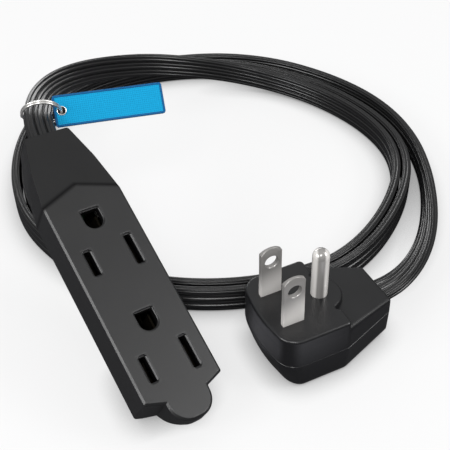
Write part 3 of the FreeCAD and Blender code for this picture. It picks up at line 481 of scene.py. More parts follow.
class StudioSettings(bpy.types.PropertyGroup):
    """Light and floor."""

    floor_tone: bpy.props.FloatProperty(
        name="Floor tone", description="Grey of the plain floor", default=0.59, min=0.0, max=1.0)
    light_power: bpy.props.FloatProperty(
        name="Light power", description="Power that each soft light has a share of, in watts",
        default=3.0, min=0.0)


# The cord


# The outline of the cord's section: lobes in the width, where the creases of the outer
# edge lie in degrees, how wide they are, and the power that rounds the edge.
LOBES_ACROSS = 3.07
EDGE_CREASES = (0, 51, 90)
CREASE_SPREAD = 6.5
EDGE_POWER = 0.75

# A path with fewer points than this has failed.
LEAST_PATH_POINTS = 100


def read_spline_path(route):
    """The route's smooth centre line, read from a spline with the route's points as controls."""
    curve = bpy.data.curves.new("route_line", "CURVE")
    curve.dimensions = "3D"
    curve.resolution_u = 8
    spline = curve.splines.new("NURBS")
    spline.points.add(len(route) - 1)
    controls = np.ones((len(route), 4), dtype=np.float32)
    controls[:, :3] = route[:, :3]
    spline.points.foreach_set("co", controls.reshape(-1))
    spline.order_u = 3
    spline.use_endpoint_u = True
    line = bpy.data.objects.new("route_line", curve)
    bpy.context.scene.collection.objects.link(line)
    graph = bpy.context.evaluated_depsgraph_get()
    mesh = bpy.data.meshes.new_from_object(line.evaluated_get(graph))
    path = np.empty(len(mesh.vertices) * 3, dtype=np.float32)
    mesh.vertices.foreach_get("co", path)
    bpy.data.meshes.remove(mesh)
    bpy.data.objects.remove(line)
    bpy.data.curves.remove(curve)
    return path.reshape(-1, 3).astype(float)


def spread_banks(route, count):
    """The bank along the path: the same quadratic blend of neighbours as the spline's points."""
    banks = route[:, 3]
    parameter = np.linspace(0, len(banks) - 2, count)
    span = np.minimum(parameter.astype(int), len(banks) - 3)
    share = parameter - span
    middle = banks[span + 1]
    start = np.where(span == 0, banks[0], (banks[span] + middle) / 2.0)
    beyond = banks[np.minimum(span + 2, len(banks) - 1)]
    end = np.where(span == len(banks) - 3, banks[-1], (middle + beyond) / 2.0)
    return (1 - share) ** 2 * start + 2 * share * (1 - share) * middle + share ** 2 * end


def lobed_profile(width, thick, groove, rib):
    """Half outline of the cord's section, from one edge over the top to the other.

    Three lobes lie side by side. A lobe's height falls with the sixth power of the distance
    from its middle to the groove, and a squared cosine wave parts each lobe into two round
    ribs. The outer halves fall as a superellipse with creases too, so that ribs of about the
    same width go on round the cord's edge.
    """
    pitch = width / LOBES_ACROSS
    outer = width / 2.0 - pitch
    share = np.array([0.0, 0.07, 0.15, 0.25, 0.37, 0.5, 0.64, 0.77, 0.87, 0.94, 1.0])
    drop = groove * share ** 6 + rib * ((1.0 + np.cos(2.0 * math.pi * share)) / 2.0) ** 2
    inner_x = np.concatenate([share, 2.0 - share[-2::-1]]) * pitch / 2.0
    inner_z = thick / 2.0 - np.concatenate([drop, drop[-2::-1]])
    angle = np.radians([4, 8, 13, 20, 30, 39, 44, 48, 51, 54, 58, 64, 71, 77, 82, 86, 88, 90])
    crease = sum(np.exp(-((np.degrees(angle) - at) / CREASE_SPREAD) ** 2) for at in EDGE_CREASES)
    reach = 1.0 - 2.0 * rib / thick * crease
    edge_x = pitch + outer * np.sin(angle) ** EDGE_POWER * reach
    edge_z = thick / 2.0 * np.clip(np.cos(angle), 0.0, 1.0) ** EDGE_POWER * reach
    right_x = np.concatenate([inner_x, edge_x])
    right_z = np.concatenate([inner_z, edge_z])
    return np.concatenate([-right_x[:0:-1], right_x]), np.concatenate([right_z[:0:-1], right_z])


def cord_surface(path, banks, width, thick, groove, rib):
    """Points of the cord's skin: the lobed section carried along the path, turned by the bank."""
    way = unit(np.gradient(path, axis=0))
    level = unit(np.cross(way, (0.0, 0.0, 1.0)))
    upright = np.cross(level, way)
    angle = np.radians(banks)[:, None]
    across = level * np.cos(angle) + upright * np.sin(angle)
    through = np.cross(way, across)
    u, v = lobed_profile(width, thick, groove, rib)
    ring_u = np.concatenate([u, u[-2:0:-1]])[None, :, None]
    ring_v = np.concatenate([v, -v[-2:0:-1]])[None, :, None]
    return path[:, None, :] + across[:, None, :] * ring_u + through[:, None, :] * ring_v


class FLATCORD_OT_cord(bpy.types.Operator):
    """Lays the flat three-lobed cord along its route."""

    bl_idname = "flatcord.cord"
    bl_label = "Flat cord"

    def execute(self, context):
        settings = context.scene.flat_cord
        route = full_route()
        path = read_spline_path(route)
        if len(path) < LEAST_PATH_POINTS:
            self.report({"ERROR"}, "the route gave no path")
            return {"CANCELLED"}
        banks = spread_banks(route, len(path))
        skin = cord_surface(path, banks, settings.width, settings.thickness, settings.groove, settings.rib)
        along = run_along(path)
        around = np.linspace(0, 1, skin.shape[1])
        uv = np.stack(np.meshgrid(along, around, indexing="ij"), -1)
        builder = Builder()
        builder.closed(skin, uv=uv)
        cord = builder.build("flat_cord", [cord_vinyl(settings.color, roughness=0.29)])
        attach(cord, "root")
        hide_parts("cord_plug_end", "cord_loop", "cord_block_end")
        return {"FINISHED"}


# The plug


# Plan of the moulding in millimetres, each corner with its radius: head and grip together,
# then the face with its round pad about the ground pin and the small notch at each side of it.
# Last come the parting line's height, the grip's reach along X and the rounding of its top.
BODY_PLAN = [
    (31.4, -7.6, 1.0), (31.4, 7.6, 1.0), (13.6, 14.2, 5.0), (-5.4, 14.2, 6.0), (-7.5, 0.0, 36.0),
    (-5.4, -14.2, 6.0), (13.6, -14.2, 5.0),
]
FACE_PLAN = [
    (14.5, -14.2, 1.6), (14.5, -8.3, 0.4), (13.2, -6.9, 0.35), (18.6, -4.03, 6.7), (18.6, 4.03, 6.7),
    (13.2, 6.9, 0.35), (14.5, 8.3, 0.4), (14.5, 14.2, 1.6), (-5.4, 14.2, 6.0), (-7.5, 0.0, 36.0),
    (-5.4, -14.2, 6.0),
]
PARTING = 9.5
GRIP_FROM = 13.4
GRIP_TO = 29.7
GRIP_RIM = 1.5
CORNER_SAMPLES = 12


def wall_inset(z):
    """How far the wall stands in from the parting line at a height, in millimetres."""
    low_in, high_in, foot_in, foot_height = 0.75, 0.2, 1.5, 1.6
    low = share_between(z, PARTING, 0.0)
    high = share_between(z, PARTING, 2.0 * PARTING)
    foot = share_between(z, foot_height, 0.0)
    return low_in * low ** 1.1 + high_in * high + foot_in * (1.0 - np.sqrt(1.0 - foot ** 2 * 0.97))


def left_lean(z):
    """Extra lean of the bulging left side below the parting line, in millimetres."""
    most = 2.2
    return most * share_between(z, PARTING, 0.0) ** 2


def body_rings(builder):
    """Head and grip as one skin: plan rings whose height follows the grip's falling top.

    Along the grip the underside rises and the top falls in a straight line, and each ring's
    height runs between the two. The rim about the grip's top is a quarter circle. A shallow
    step in and out again makes the parting line. Towards the cord the wall's inset fades to
    a smaller share, so that the grip's end stays upright.
    """
    grip_top, grip_end_top, grip_end_low = 17.1, 14.6, 1.5
    end_share, slope_end = 0.4, 1.05
    levels = [(z, 0.0) for z in (0.0, 0.1, 0.25, 0.5, 0.85, 1.2, 1.6, 2.6, 3.6, 5.0, 6.5, 8.0, 9.0)]
    levels += [(9.36, 0.0), (9.42, 0.07), (9.56, 0.07), (9.62, 0.0), (11.0, 0.0), (13.0, 0.0), (15.0, 0.0)]
    levels += rim_levels(grip_top, GRIP_RIM)
    base = rounded_outline(BODY_PLAN, 0.0, CORNER_SAMPLES)
    along = share_between(base[:, 0], GRIP_FROM, GRIP_TO)[:, None]
    left = share_between(base[:, 0], 6.0, -6.0) ** 1.3
    rings = []
    for z, inset in levels:
        wall = float(wall_inset(z))
        near = rounded_outline(BODY_PLAN, inset + wall, CORNER_SAMPLES)
        far = rounded_outline(BODY_PLAN, inset + end_share * wall, CORNER_SAMPLES)
        plan = near + (far - near) * along
        plan[:, 0] += left * left_lean(z)
        share = np.clip((plan[:, 0] - GRIP_FROM) / (GRIP_TO - GRIP_FROM), 0.0, slope_end)
        low = grip_end_low * share
        high = grip_top + (grip_end_top - grip_top) * share
        lower = low + z * (PARTING - low) / PARTING
        upper = PARTING + (z - PARTING) * (high - PARTING) / (grip_top - PARTING)
        height = np.where(z <= PARTING, lower, upper)
        rings.append(np.column_stack([plan, height]))
    points = np.array(rings) / 1000.0
    builder.closed(points, flip=True, centre=(GRIP_FROM / 1000.0, 0.0, points[-1][:, 2].max()))


def face_rings(builder, top, rim):
    """The face: a shallow plate with a soft rim that stands up from the grip's top.

    Its wall stands a hair proud of the head's, so that the two skins don't lie in one another.
    """
    low, proud = 15.6, 0.012
    levels = [(z, -proud) for z in np.linspace(low, top - rim, 5)]
    levels += rim_levels(top, rim, first=0.15)
    rings = []
    for z, inset in levels:
        wall = float(wall_inset(min(z, top - rim)))
        rings.append(at_height(rounded_outline(FACE_PLAN, inset + wall, CORNER_SAMPLES), z))
    points = np.array(rings) / 1000.0
    builder.grid(points, flip=True)
    builder.fan(points[-1], centre=(0.0, 0.0, top / 1000.0))


class FLATCORD_OT_plug(bpy.types.Operator):
    """Moulds the plug's body: head with its face and round pin pad, and the tapering grip."""

    bl_idname = "flatcord.plug"
    bl_label = "Plug body"

    def execute(self, context):
        settings = context.scene.flat_plug
        builder = Builder()
        body_rings(builder)
        face_rings(builder, settings.height * 1000.0, settings.rim * 1000.0)
        vinyl = plastic("plug_vinyl", settings.color, roughness=0.3, scale=3500.0, height=0.000008)
        body = builder.build("plug_moulding", [vinyl], smooth_degrees=40)
        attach(body, "root")
        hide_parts("plug_body")
        return {"FINISHED"}


# The blades in millimetres, seen from the middle of the hole near the tip.
BLADE_HALF = 3.175
BLADE_BELOW = 12.6
BLADE_ABOVE = 4.6
TIP_ARCH = 1.5
TIP_SHOULDER = BLADE_ABOVE - TIP_ARCH
HOLE_RADIUS = 2.0
HOLE_HEIGHT = 30.9

# The ground pin in millimetres, with the thinner shank that stands in the body, and the radius
# of the small flat on its dome.
PIN_RADIUS = 2.4
PIN_TOP = 35.0
PIN_FOOT = 18.9
SHANK_RADIUS = 2.0
SHANK_FOOT = 11.0
PIN_FLAT = 0.06


def blade_outline(angle):
    """Distance from the blade's hole to its outline in each direction, for a straight-sided
    blade with an arched top. The hole's middle is the origin."""
    x = np.cos(angle)
    z = np.sin(angle)
    side = BLADE_HALF / np.maximum(np.abs(x), 1e-6)
    floor = np.where(z < 0, BLADE_BELOW / np.maximum(-z, 1e-6), 1e6)
    radius = (BLADE_HALF ** 2 + TIP_ARCH ** 2) / (2 * TIP_ARCH)
    centre = BLADE_ABOVE - radius
    reach = centre * z + np.sqrt(np.maximum(radius ** 2 - centre ** 2 * x ** 2, 0))
    crown = np.where(z > 0, reach, 1e6)
    return np.minimum(np.minimum(side, floor), crown)


def blade_surface(builder, centre_y):
    """One blade: rings run from the hole out to the outline on both faces.

    The hole's edge and the outline have small bevels, and near the tip the blade thins.
    """
    tall = [TIP_SHOULDER, TIP_SHOULDER, -BLADE_BELOW, -BLADE_BELOW]
    corner = np.arctan2(tall, [BLADE_HALF, -BLADE_HALF, -BLADE_HALF, BLADE_HALF])
    angle = np.sort(np.concatenate([full_turn(120), corner % (2 * math.pi)]))
    outline = blade_outline(angle)
    hole = np.full_like(outline, HOLE_RADIUS)
    bevel, hole_bevel, half_thick, least_half, tip_thinning = 0.26, 0.14, 0.75, 0.1, 0.34
    spans = [(hole, 0.55), (hole + hole_bevel, half_thick)]
    for share in (0.15, 0.35, 0.6, 0.85):
        spans.append((hole + hole_bevel + (outline - bevel - hole - hole_bevel) * share, half_thick))
    spans += [(outline - bevel, half_thick), (outline - bevel * 0.3, 0.70), (outline, 0.58)]
    near, far = [], []
    for radius, half in spans:
        x = radius * np.cos(angle)
        z = radius * np.sin(angle)
        tip = share_between(z, TIP_SHOULDER, BLADE_ABOVE)
        thick = half - np.minimum(half - least_half, tip_thinning * tip)
        near.append(np.column_stack([x, centre_y - thick, z + HOLE_HEIGHT]))
        far.append(np.column_stack([x, centre_y + thick, z + HOLE_HEIGHT]))
    points = np.array(near + far[::-1]) / 1000.0
    builder.grid(points, wrap_rows=True, flip=True)


def pin_surface(builder):
    """The ground pin: a straight round pin with a domed tip, on a thinner shank."""
    profile = [(SHANK_RADIUS, SHANK_FOOT), (SHANK_RADIUS, PIN_FOOT)]
    profile += [(PIN_RADIUS, PIN_FOOT), (PIN_RADIUS, PIN_TOP - PIN_RADIUS)]
    for a in np.linspace(0, math.pi / 2, 14)[1:-1]:
        profile.append((PIN_RADIUS * math.cos(a), PIN_TOP - PIN_RADIUS + PIN_RADIUS * math.sin(a)))
    profile.append((PIN_FLAT, PIN_TOP))
    angle = full_turn(64)
    rings = [at_height(circle(r, angle, GROUND_AT), z) for r, z in profile]
    builder.closed(np.array(rings) / 1000.0, flip=True)


class FLATCORD_OT_prongs(bpy.types.Operator):
    """Makes the two flat blades and the round ground pin."""

    bl_idname = "flatcord.prongs"
    bl_label = "Prongs"

    def execute(self, context):
        settings = context.scene.flat_plug
        nickel = plated_metal("nickel_plate", settings.metal, 0.32, 2500.0, metallic=0.45)
        # Painted reflection on the blades: lighter low down, darker towards their tips.
        paint_reflection_fade(nickel, 0.021, 0.030, settings.metal, low_gain=1.2, high_gain=0.36)
        for name, side in (("line_blade", -1), ("neutral_blade", 1)):
            builder = Builder()
            blade_surface(builder, side * BLADE_SPACING / 2.0)
            blade = builder.build(name + "_plate", [nickel], smooth_degrees=25)
            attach(blade, "root")
            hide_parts(name)
        builder = Builder()
        pin_surface(builder)
        pin_nickel_painted = plated_metal("nickel_pin", settings.metal, 0.2, 600.0, metallic=0.45)
        # Painted highlights: bright streaks and a dark band down the ground pin.
        paint_pin_highlights(pin_nickel_painted, (GROUND_AT / 1000.0, 0.0, 0.0), PIN_RADIUS / 1000.0, settings.metal)
        pin = builder.build("ground_pin_plate", [pin_nickel_painted], smooth_degrees=40)
        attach(pin, "root")
        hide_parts("ground_pin")
        return {"FINISHED"}


# The outlet block


def dress(material, *nodes):
    """Gives CAD nodes a material in place of their plain one."""
    for node in nodes:
        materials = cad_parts[node].data.materials
        materials.clear()
        materials.append(material)


def soft_edged(material, radius, height):
    """Lets the edges shade as small rounds, with the grain's bump laid over them."""
    tree = material.node_tree
    grain = next(node for node in tree.nodes if node.type == "GROUP").outputs["Grain"]
    bevel = add_node(tree, "Bevel", "Normal", {"Radius": radius}, samples=8)
    feed(tree, {"Normal": add_bump(tree, grain, height, Normal=bevel)})


# The openings of one outlet in the block's frame, in millimetres.
OUTLET_PITCH = 32.2
SLOT_LENGTHS = (7.3, 9.1)
SLOT_HALF = 0.95
MOUTH_SPREAD = 0.62
GROUND_HALF = 2.65
GROUND_FLAT = 3.1


def mouth_outlines():
    """Outlines of the two slots and the D hole, each as large as its own mouth.

    Each corner is x, y and radius.
    """
    outlines = []
    signs = ((1, -1), (1, 1), (-1, 1), (-1, -1))
    for side, long in zip((-1, 1), SLOT_LENGTHS):
        x, y = SLOT_HALF + MOUTH_SPREAD, long / 2.0 + MOUTH_SPREAD
        outlines.append([(side * BLADE_SPACING / 2.0 + a * x, b * y, 0.15) for a, b in signs])
    half = GROUND_HALF + MOUTH_SPREAD
    ends = {-1: (GROUND_AT - half, half * 0.97), 1: (GROUND_AT + GROUND_FLAT + MOUTH_SPREAD, 0.45)}
    outlines.append([(a * half, *ends[b]) for a, b in signs])
    return outlines


def mouth_rings(builder, outline, turn, origin):
    """One bevelled mouth: a small round at its outer edge, a slope, a lit lip and the wall below. The round
    and slope take the first material slot, painted lighter, and the lip and wall the second, painted
    darker.
    """
    slope = [(-0.10, 0.02), (-0.02, 0.015), (0.04, -0.03), (0.08, -0.08), (0.46, -0.40), (0.52, -0.46)]
    wall = [(0.52, -0.46), (0.56, -0.46), (0.62, -0.50), (0.65, -0.58), (0.66, -2.3)]
    for slot, levels in enumerate((slope, wall)):
        rings = np.array([at_height(rounded_outline(outline, inset, 8), z) for inset, z in levels])
        builder.grid((rings @ turn.T + origin) / 1000.0, slot=slot)


# The step between the outlets' face and the neck: a blunt chevron in the block's frame, in metres.
CHEVRON_TIP = 0.0238
CHEVRON_SLOPE = 0.369
# The painted crease shade's width and gloss, then how the neck's painted shade fades in and the gloss that
# it keeps.
CREASE_SHADE_WIDTH = 0.0014
CREASE_SHADE_GLOSS = 0.12
NECK_SHADE_FADE = 0.0004
NECK_SHADE_GLOSS = 0.6


def paint_neck_shade(material, specular):
    """Painted shade: a soft dark line along the chevron's crease, and a painted darker neck beyond it, both
    made by lowering the gloss.
    """
    tree = material.node_tree
    turn, origin = block_matrix()
    place = object_place(tree)
    parts = []
    for axis in (turn[:, 0], turn[:, 1]):
        dot = add_vector(tree, "DOT_PRODUCT", place, axis.tolist())
        parts.append(add_math(tree, "SUBTRACT", dot, float(axis @ origin) / 1000.0))
    across, along = add_math(tree, "ABSOLUTE", parts[0]), parts[1]
    line = add_math(tree, "MULTIPLY_ADD", across, CHEVRON_SLOPE, along)
    gap = add_math(tree, "SUBTRACT", line, CHEVRON_TIP)
    away = add_math(tree, "ABSOLUTE", gap)
    crease = add_range(tree, away, 0.0, CREASE_SHADE_WIDTH, CREASE_SHADE_GLOSS, 1.0, "SMOOTHSTEP")
    beyond = add_range(tree, gap, 0.0, NECK_SHADE_FADE, specular, specular * NECK_SHADE_GLOSS)
    feed(tree, {"Specular IOR Level": add_math(tree, "MULTIPLY", crease, beyond)})


def dress_inside():
    """Materials of the hidden pieces: contacts, crimps, leads, clamp, bridge and screws."""
    brush_scale, grain_scale = 1800.0, 3000.0
    # Painted shade: the brass contacts are darkened to near black, because they show down the slots.
    shaded_brass = plated_metal("contact_brass_painted_dark", (0.016, 0.013, 0.008), 0.5, brush_scale)
    crimp = plated_metal("crimp_metal", (0.66, 0.64, 0.62), 0.3, brush_scale)
    jackets = {"line": (0.02, 0.02, 0.02), "neutral": (0.5, 0.5, 0.48), "ground": (0.008, 0.05, 0.02)}
    for wire, color in jackets.items():
        jacket = plastic(wire + "_jacket", color, 0.45, grain_scale, height=0.00001)
        dress(jacket, "plug_" + wire + "_lead", "block_" + wire + "_lead")
        dress(shaded_brass, wire + "_bus")
        dress(crimp, wire + "_crimp")
    inner = plastic("inner_plastic", (0.028, 0.028, 0.03), 0.5, grain_scale, height=0.000012)
    dress(inner, "cord_clamp", "prong_bridge")
    dress(plated_metal("screw_steel", (0.6, 0.6, 0.61), 0.3, brush_scale), "cover_screws")


class FLATCORD_OT_block(bpy.types.Operator):
    """Finishes the outlet block's shells, the mouths of its openings and what is inside."""

    bl_idname = "flatcord.block"
    bl_label = "Outlet block"

    def execute(self, context):
        settings = context.scene.outlet_block
        grain = 0.000012
        moulded = {"scale": 4200.0, "height": grain, "spread": 0.12}
        cover = plastic("cover_plastic", settings.color, 0.38, **moulded)
        base = plastic("base_plastic", tinted(settings.color, 0.7), 0.36, **moulded)
        for shell in (cover, base):
            soft_edged(shell, settings.edge_softness, grain)
        paint_neck_shade(cover, specular=0.55)
        turn, origin = block_matrix()
        builder = Builder()
        for shift in (0.0, -OUTLET_PITCH):
            for outline in mouth_outlines():
                mouth_rings(builder, [(x, y + shift, r) for x, y, r in outline], turn, origin)
        # Painted highlight: the mouths' slopes are three times lighter than the cover. Painted shade: the
        # slots' walls are darker than it.
        edge = plastic("mouth_painted_light", tinted(settings.color, 3.0), 0.42, specular=0.6, **moulded)
        shaft_shade = plastic("shaft_painted_shade", tinted(settings.color, 0.4), 0.3, specular=0.45, **moulded)
        mouths = builder.build("outlet_mouths", [edge, shaft_shade], smooth_degrees=35)
        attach(mouths, "root")
        dress(cover, "outlet_cover")
        dress(base, "outlet_base")
        dress_inside()
        return {"FINISHED"}


# The tag


# Length, half height, width of the sewn border, and where the eyelet is, in millimetres.
TAG_LONG = 33.5
TAG_HALF = 4.85
TAG_SEAM = 0.8
EYELET_AT = 2.35


def tag_to_row(points):
    """Points from the tag's own frame, in millimetres, to the row frame in metres."""
    along, up = np.array(TAG_ALONG), np.array(TAG_UP)
    turn = np.column_stack([along, up, np.cross(along, up)])
    return (points @ turn.T + np.array(TAG_BASE)) / 1000.0


def tag_wave(x, y):
    """The cloth isn't quite flat: slow waves that begin beyond the eyelet, in millimetres."""
    swing, ripple, starts, full = 0.10, 0.05, 5.0, 13.0
    wave = swing * np.sin(x / 7.0 + 0.6) + ripple * np.sin(y / 2.4 + x / 5.0)
    return wave * share_between(x, starts, full)


def cloth_panel(builder):
    """The woven face on both sides: rings run from the eyelet's hole out to the seam."""
    under_seam, hole, half_thick = 0.5, 1.2, 0.36
    right, left = TAG_LONG - under_seam - EYELET_AT, EYELET_AT - under_seam
    tall = TAG_HALF - under_seam
    corners = np.arctan2([tall, tall, -tall, -tall], [right, -left, -left, right]) % (2 * math.pi)
    angle = np.sort(np.concatenate([full_turn(240), corners]))
    x, y = np.cos(angle), np.sin(angle)
    across = np.where(x > 0, right, left) / np.maximum(np.abs(x), 1e-6)
    reach = np.minimum(across, tall / np.maximum(np.abs(y), 1e-6))
    share = np.linspace(0, 1, 30)[:, None]
    radius = hole + (reach - hole) * share
    grid_x, grid_y = EYELET_AT + radius * x, radius * y
    uv = np.stack([grid_x, grid_y], -1)
    for side in (1, -1):
        points = np.stack([grid_x, grid_y, side * half_thick + tag_wave(grid_x, grid_y)], -1)
        builder.grid(tag_to_row(points), uv=uv, flip=side < 0)


def sewn_border(builder):
    """The overlocked border: a padded section carried round the tag, ridged by slanted stitches."""
    middle = TAG_SEAM / 2.0
    half_thick, stitch, swell, corner, squareness = 0.53, 0.52, 0.09, 0.9, 0.7
    places = ((0, -TAG_HALF), (TAG_LONG, -TAG_HALF), (TAG_LONG, TAG_HALF), (0, TAG_HALF))
    line = rounded_outline([(x, y, corner) for x, y in places], middle, 6)
    closed = np.vstack([line, line[:1]])
    run = run_along(closed)
    station = np.linspace(0, run[-1], 1201)[:-1]
    spine = np.column_stack([np.interp(station, run, closed[:, 0]), np.interp(station, run, closed[:, 1])])
    way = unit(np.roll(spine, -3, axis=0) - np.roll(spine, 3, axis=0))
    outward = np.column_stack([way[:, 1], -way[:, 0]])
    angle = full_turn(18)
    wide, tall = [np.sign(part) * np.abs(part) ** squareness for part in (np.cos(angle), np.sin(angle))]
    slant = 0.8 * np.sin(angle)[None, :]
    ridge = 1.0 + swell * np.sin(2 * math.pi * station[:, None] / stitch + slant)
    x = spine[:, 0:1] + outward[:, 0:1] * wide * middle * ridge
    y = spine[:, 1:2] + outward[:, 1:2] * wide * middle * ridge
    z = half_thick * tall * ridge + tag_wave(spine[:, 0:1], spine[:, 1:2])
    uv = np.stack([np.broadcast_to(station[:, None], x.shape), np.broadcast_to(angle / 2.0, x.shape)], -1)
    builder.grid(tag_to_row(np.stack([x, y, z], -1)), wrap_rows=True, uv=uv, flip=True)


def grommet(builder):
    """The pressed eyelet: a barrel whose two flanges are rolled over the cloth."""
    angle = full_turn(64)
    flange = [(1.16, 0.60), (1.25, 0.68), (1.36, 0.66), (1.44, 0.57), (1.47, 0.40)]
    profile = [(1.12, -0.45), (1.12, 0.45)] + flange
    profile += [(r, -z) for r, z in profile[:1:-1]]
    rings = np.array([at_height(circle(r, angle, EYELET_AT), z) for r, z in profile])
    builder.grid(tag_to_row(rings), wrap_rows=True)


def ring_wire(builder):
    """The split ring: round spring wire wound in two close turns."""
    radius, wire, turns, count = 5.9, 0.36, 1.97, 260
    side, through = np.array(RING_SIDE), np.array(RING_THROUGH)
    axis = np.cross(side, through)
    turned = np.linspace(0, 2 * math.pi * turns, count)[:, None]
    outward = side * np.cos(turned) + through * np.sin(turned)
    pitch = 2.08 * wire
    rise = pitch * turns * (np.linspace(0, 1, count)[:, None] - 0.5)
    centre = np.array(RING_CENTRE) + outward * radius + axis * rise
    angle = full_turn(16)[None, :, None]
    skin = centre[:, None, :] + wire * (outward[:, None, :] * np.cos(angle) + axis * np.sin(angle))
    builder.closed(skin / 1000.0)


class FLATCORD_OT_tag(bpy.types.Operator):
    """Makes the cloth tag, its sewn border, its eyelet and the split ring."""

    bl_idname = "flatcord.tag"
    bl_label = "Cloth tag"

    def execute(self, context):
        settings = context.scene.cloth_tag
        face = woven_cloth("tag_weave", settings.face_color, 1.6, 0.00006, 0.3)
        edge = woven_cloth("tag_thread", settings.edge_color, 1.9, 0.00006, 0.6)
        steel = plated_metal("ring_steel", (0.75, 0.74, 0.72), 0.22, 1500.0, 0.9)
        pieces = (
            ("tag_face", cloth_panel, face, "cloth_blue", "tag_cloth"),
            ("tag_binding", sewn_border, edge, "thread_blue", "tag_border"),
            ("tag_grommet", grommet, steel, "steel", "tag_eyelet"),
            ("ring_coil", ring_wire, steel, "steel", "split_ring"),
        )
        for name, make, material, slot, node in pieces:
            builder = Builder()
            make(builder)
            piece = builder.build(name, [material])
            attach(piece, "root")
            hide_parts(node)
        return {"FINISHED"}


# The studio


# Pale cards by the plug's bulging side and before its front, seen only in mirror light:
# place, reach along X, Y and Z, and tone.
PALE_CARDS = (
    ((-0.023, 0.009, 0.0), (0.016, 0.022, 0.02), 1.0),
    ((0.006, -0.038, 0.0), (0.028, 0.018, 0.02), 0.6),
)

# The camera: its place in metres, its directions, its lens and its film width in millimetres.
CAMERA_AT = (-0.0858, -0.1493, 0.1956)
CAMERA_RIGHT = (0.8981, -0.4392, -0.0214)
CAMERA_DOWN = (-0.3003, -0.5770, -0.7595)
CAMERA_FORWARD = (0.3212, 0.6886, -0.6501)
CAMERA_LENS = 72.0
CAMERA_FILM = 36.0

# The lights: name, place, size and share of the power. All aim at one point.
LIGHTS = (
    ("key", (0.68, -0.36, 0.78), (0.45, 0.45), 0.8),
    ("left", (-0.82, -0.05, 0.52), (0.5, 0.3), 1.5),
    ("back", (0.2, 1.1, 0.26), (0.9, 0.22), 1.0),
    ("front", (0.72, -0.50, 0.56), (0.3, 0.2), 0.8),
    ("rim", (-0.36, -0.48, 0.80), (0.3, 0.3), 1.3),
)
LIGHTS_AIM = (0.02, 0.06, 0.0)

# The floor: half its side and its height in metres, and how much of it glows for the camera.
FLOOR_HALF = 1.6
FLOOR_Z = -0.0001
FLOOR_GLOW_SHARE = 0.72


def soft_light(name, at, size, power):
    """A soft rectangular light aimed at the coil."""
    data = bpy.data.lights.new(name, "AREA")
    data.shape = "RECTANGLE"
    data.size, data.size_y = size
    data.energy = power
    obj = bpy.data.objects.new(name, data)
    obj.location = at
    obj.rotation_euler = (Vector(LIGHTS_AIM) - Vector(at)).to_track_quat("-Z", "Y").to_euler()
    bpy.context.scene.collection.objects.link(obj)


def floor_paper(tone):
    """Plain pale paper. For the camera most of it glows evenly, with a painted contact shadow from ambient
    occlusion near the pieces, and the rest is lit paper with its own shadows; black pieces mirror it as a
    much darker grey, with the pale cards painted into that reflection.
    """
    material = bpy.data.materials.new("floor_paper")
    material.use_nodes = True
    tree = material.node_tree
    tree.nodes.remove(tree.nodes["Principled BSDF"])
    paper = add_node(tree, "BsdfDiffuse", "BSDF", {"Color": (tone, tone, tone, 1.0)})
    # Painted contact shadow: ambient occlusion dims the floor's glow near the pieces.
    contact_shadow = add_node(tree, "AmbientOcclusion", "AO", {"Distance": 0.007}, samples=8)
    inputs = {"Color": (0.955, 0.955, 0.957, 1.0), "Strength": add_range(tree, contact_shadow, 0.15, 0.95, 0.3)}
    glow = add_node(tree, "Emission", "Emission", inputs)
    place = object_place(tree)
    mirrored, blue_gain = (0.07, 0.07, 0.074, 1.0), 1.08
    for at, reach, card_tone in PALE_CARDS:
        inputs = {"Vector": place, "Location": at, "Scale": reach}
        spot = add_node(tree, "Mapping", "Vector", inputs, vector_type="TEXTURE")
        card = add_node(tree, "TexGradient", "Fac", {"Vector": spot}, gradient_type="SPHERICAL")
        inputs = {"Factor": card, "A": mirrored, "B": (card_tone, card_tone, card_tone * blue_gain, 1.0)}
        mirrored = add_node(tree, "Mix", "Result", inputs, data_type="RGBA")
    dim = add_node(tree, "BsdfDiffuse", "BSDF", {"Color": mirrored})
    path = add_node(tree, "LightPath")
    share = add_math(tree, "MULTIPLY", path["Is Camera Ray"], FLOOR_GLOW_SHARE)
    bright = add_node(tree, "MixShader", "Shader", {"Fac": share, 1: paper, 2: glow})
    seen = add_node(tree, "MixShader", "Shader", {"Fac": path["Is Glossy Ray"], 1: bright, 2: dim})
    feed(tree, {"Surface": seen}, "Material Output")
    return material


def pale_surroundings():
    """Even pale surroundings; shiny pieces mirror them darker near the horizon."""
    world = bpy.data.worlds.new("surroundings")
    world.use_nodes = True
    tree = world.node_tree
    way = add_node(tree, "NewGeometry", "Incoming")
    height = add_node(tree, "SeparateXYZ", "Z", {"Vector": way})
    mirrored = add_range(tree, height, 0.1, -1.0, 0.10, 0.75)
    glossy = add_node(tree, "LightPath", "Is Glossy Ray")
    strength = add_node(tree, "Mix", "Result", {"Factor": glossy, "A": 0.97, "B": mirrored})
    feed(tree, {"Color": (1.0, 1.0, 1.0, 1.0), "Strength": strength}, "Background")
    return world


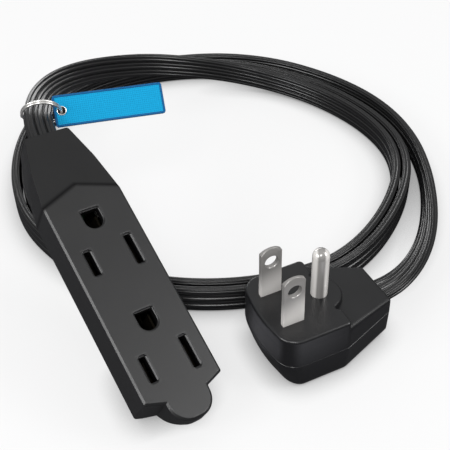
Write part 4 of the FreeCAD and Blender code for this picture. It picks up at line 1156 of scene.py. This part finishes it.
class FLATCORD_OT_studio(bpy.types.Operator):
    """Sets the camera, the pale floor and the soft lights."""

    bl_idname = "flatcord.studio"
    bl_label = "Studio"

    def execute(self, context):
        settings = context.scene.studio
        scene = context.scene
        camera_data = bpy.data.cameras.new("camera")
        camera_data.lens = CAMERA_LENS
        camera_data.sensor_width = CAMERA_FILM
        camera_data.clip_start = 0.01
        camera = bpy.data.objects.new("camera", camera_data)
        right, down, forward = Vector(CAMERA_RIGHT), Vector(CAMERA_DOWN), Vector(CAMERA_FORWARD)
        turn = Matrix((right, -down, -forward)).transposed()
        camera.matrix_world = Matrix.Translation(Vector(CAMERA_AT)) @ turn.to_4x4()
        scene.collection.objects.link(camera)
        scene.camera = camera
        builder = Builder()
        side = np.linspace(-FLOOR_HALF, FLOOR_HALF, 3)
        x, y = np.meshgrid(side, side, indexing="ij")
        builder.grid(np.stack([x, y, np.full_like(x, FLOOR_Z)], -1), wrap_columns=False)
        floor = builder.build("floor", [floor_paper(settings.floor_tone)])
        scene.world = pale_surroundings()
        for name, at, size, share in LIGHTS:
            soft_light(name, at, size, settings.light_power * share)
        scene.view_settings.view_transform = "Standard"
        return {"FINISHED"}


# Each piece's settings and operator, in the order in which they are made.
PIECES = (
    ("cloth_tag", "tag"), ("flat_cord", "cord"), ("flat_plug", "plug"), ("flat_plug", "prongs"),
    ("outlet_block", "block"), ("studio", "studio"),
)


class FLATCORD_PT_panel(bpy.types.Panel):
    """Sizes, colours and buttons for each piece."""

    bl_label = "Flat cord"
    bl_idname = "FLATCORD_PT_panel"
    bl_space_type = "VIEW_3D"
    bl_region_type = "UI"
    bl_category = "Flat Cord"

    def draw(self, context):
        for group, piece in PIECES:
            box = self.layout.box()
            settings = getattr(context.scene, group)
            for name in settings.bl_rna.properties.keys():
                if name not in ("rna_type", "name"):
                    box.prop(settings, name)
            box.operator("flatcord." + piece)


GROUPS = (
    ("flat_cord", FlatCordSettings), ("flat_plug", FlatPlugSettings), ("outlet_block", OutletBlockSettings),
    ("cloth_tag", ClothTagSettings), ("studio", StudioSettings),
)
CLASSES = (
    FLATCORD_OT_cord, FLATCORD_OT_plug, FLATCORD_OT_prongs, FLATCORD_OT_block, FLATCORD_OT_tag,
    FLATCORD_OT_studio, FLATCORD_PT_panel,
)


def register():
    """Registers the settings, operators and panel."""
    for name, group in GROUPS:
        bpy.utils.register_class(group)
        setattr(bpy.types.Scene, name, bpy.props.PointerProperty(type=group))
    for cls in CLASSES:
        bpy.utils.register_class(cls)


def unregister():
    """Removes them again."""
    for cls in reversed(CLASSES):
        bpy.utils.unregister_class(cls)
    for name, group in reversed(GROUPS):
        delattr(bpy.types.Scene, name)
        bpy.utils.unregister_class(group)


def main():
    """Builds every piece through its operator."""
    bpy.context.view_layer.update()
    register()
    for group, piece in PIECES:
        if getattr(bpy.ops.flatcord, piece)() != {"FINISHED"}:
            raise RuntimeError("the " + piece + " couldn't be made")


if __name__ == "__main__":
    main()
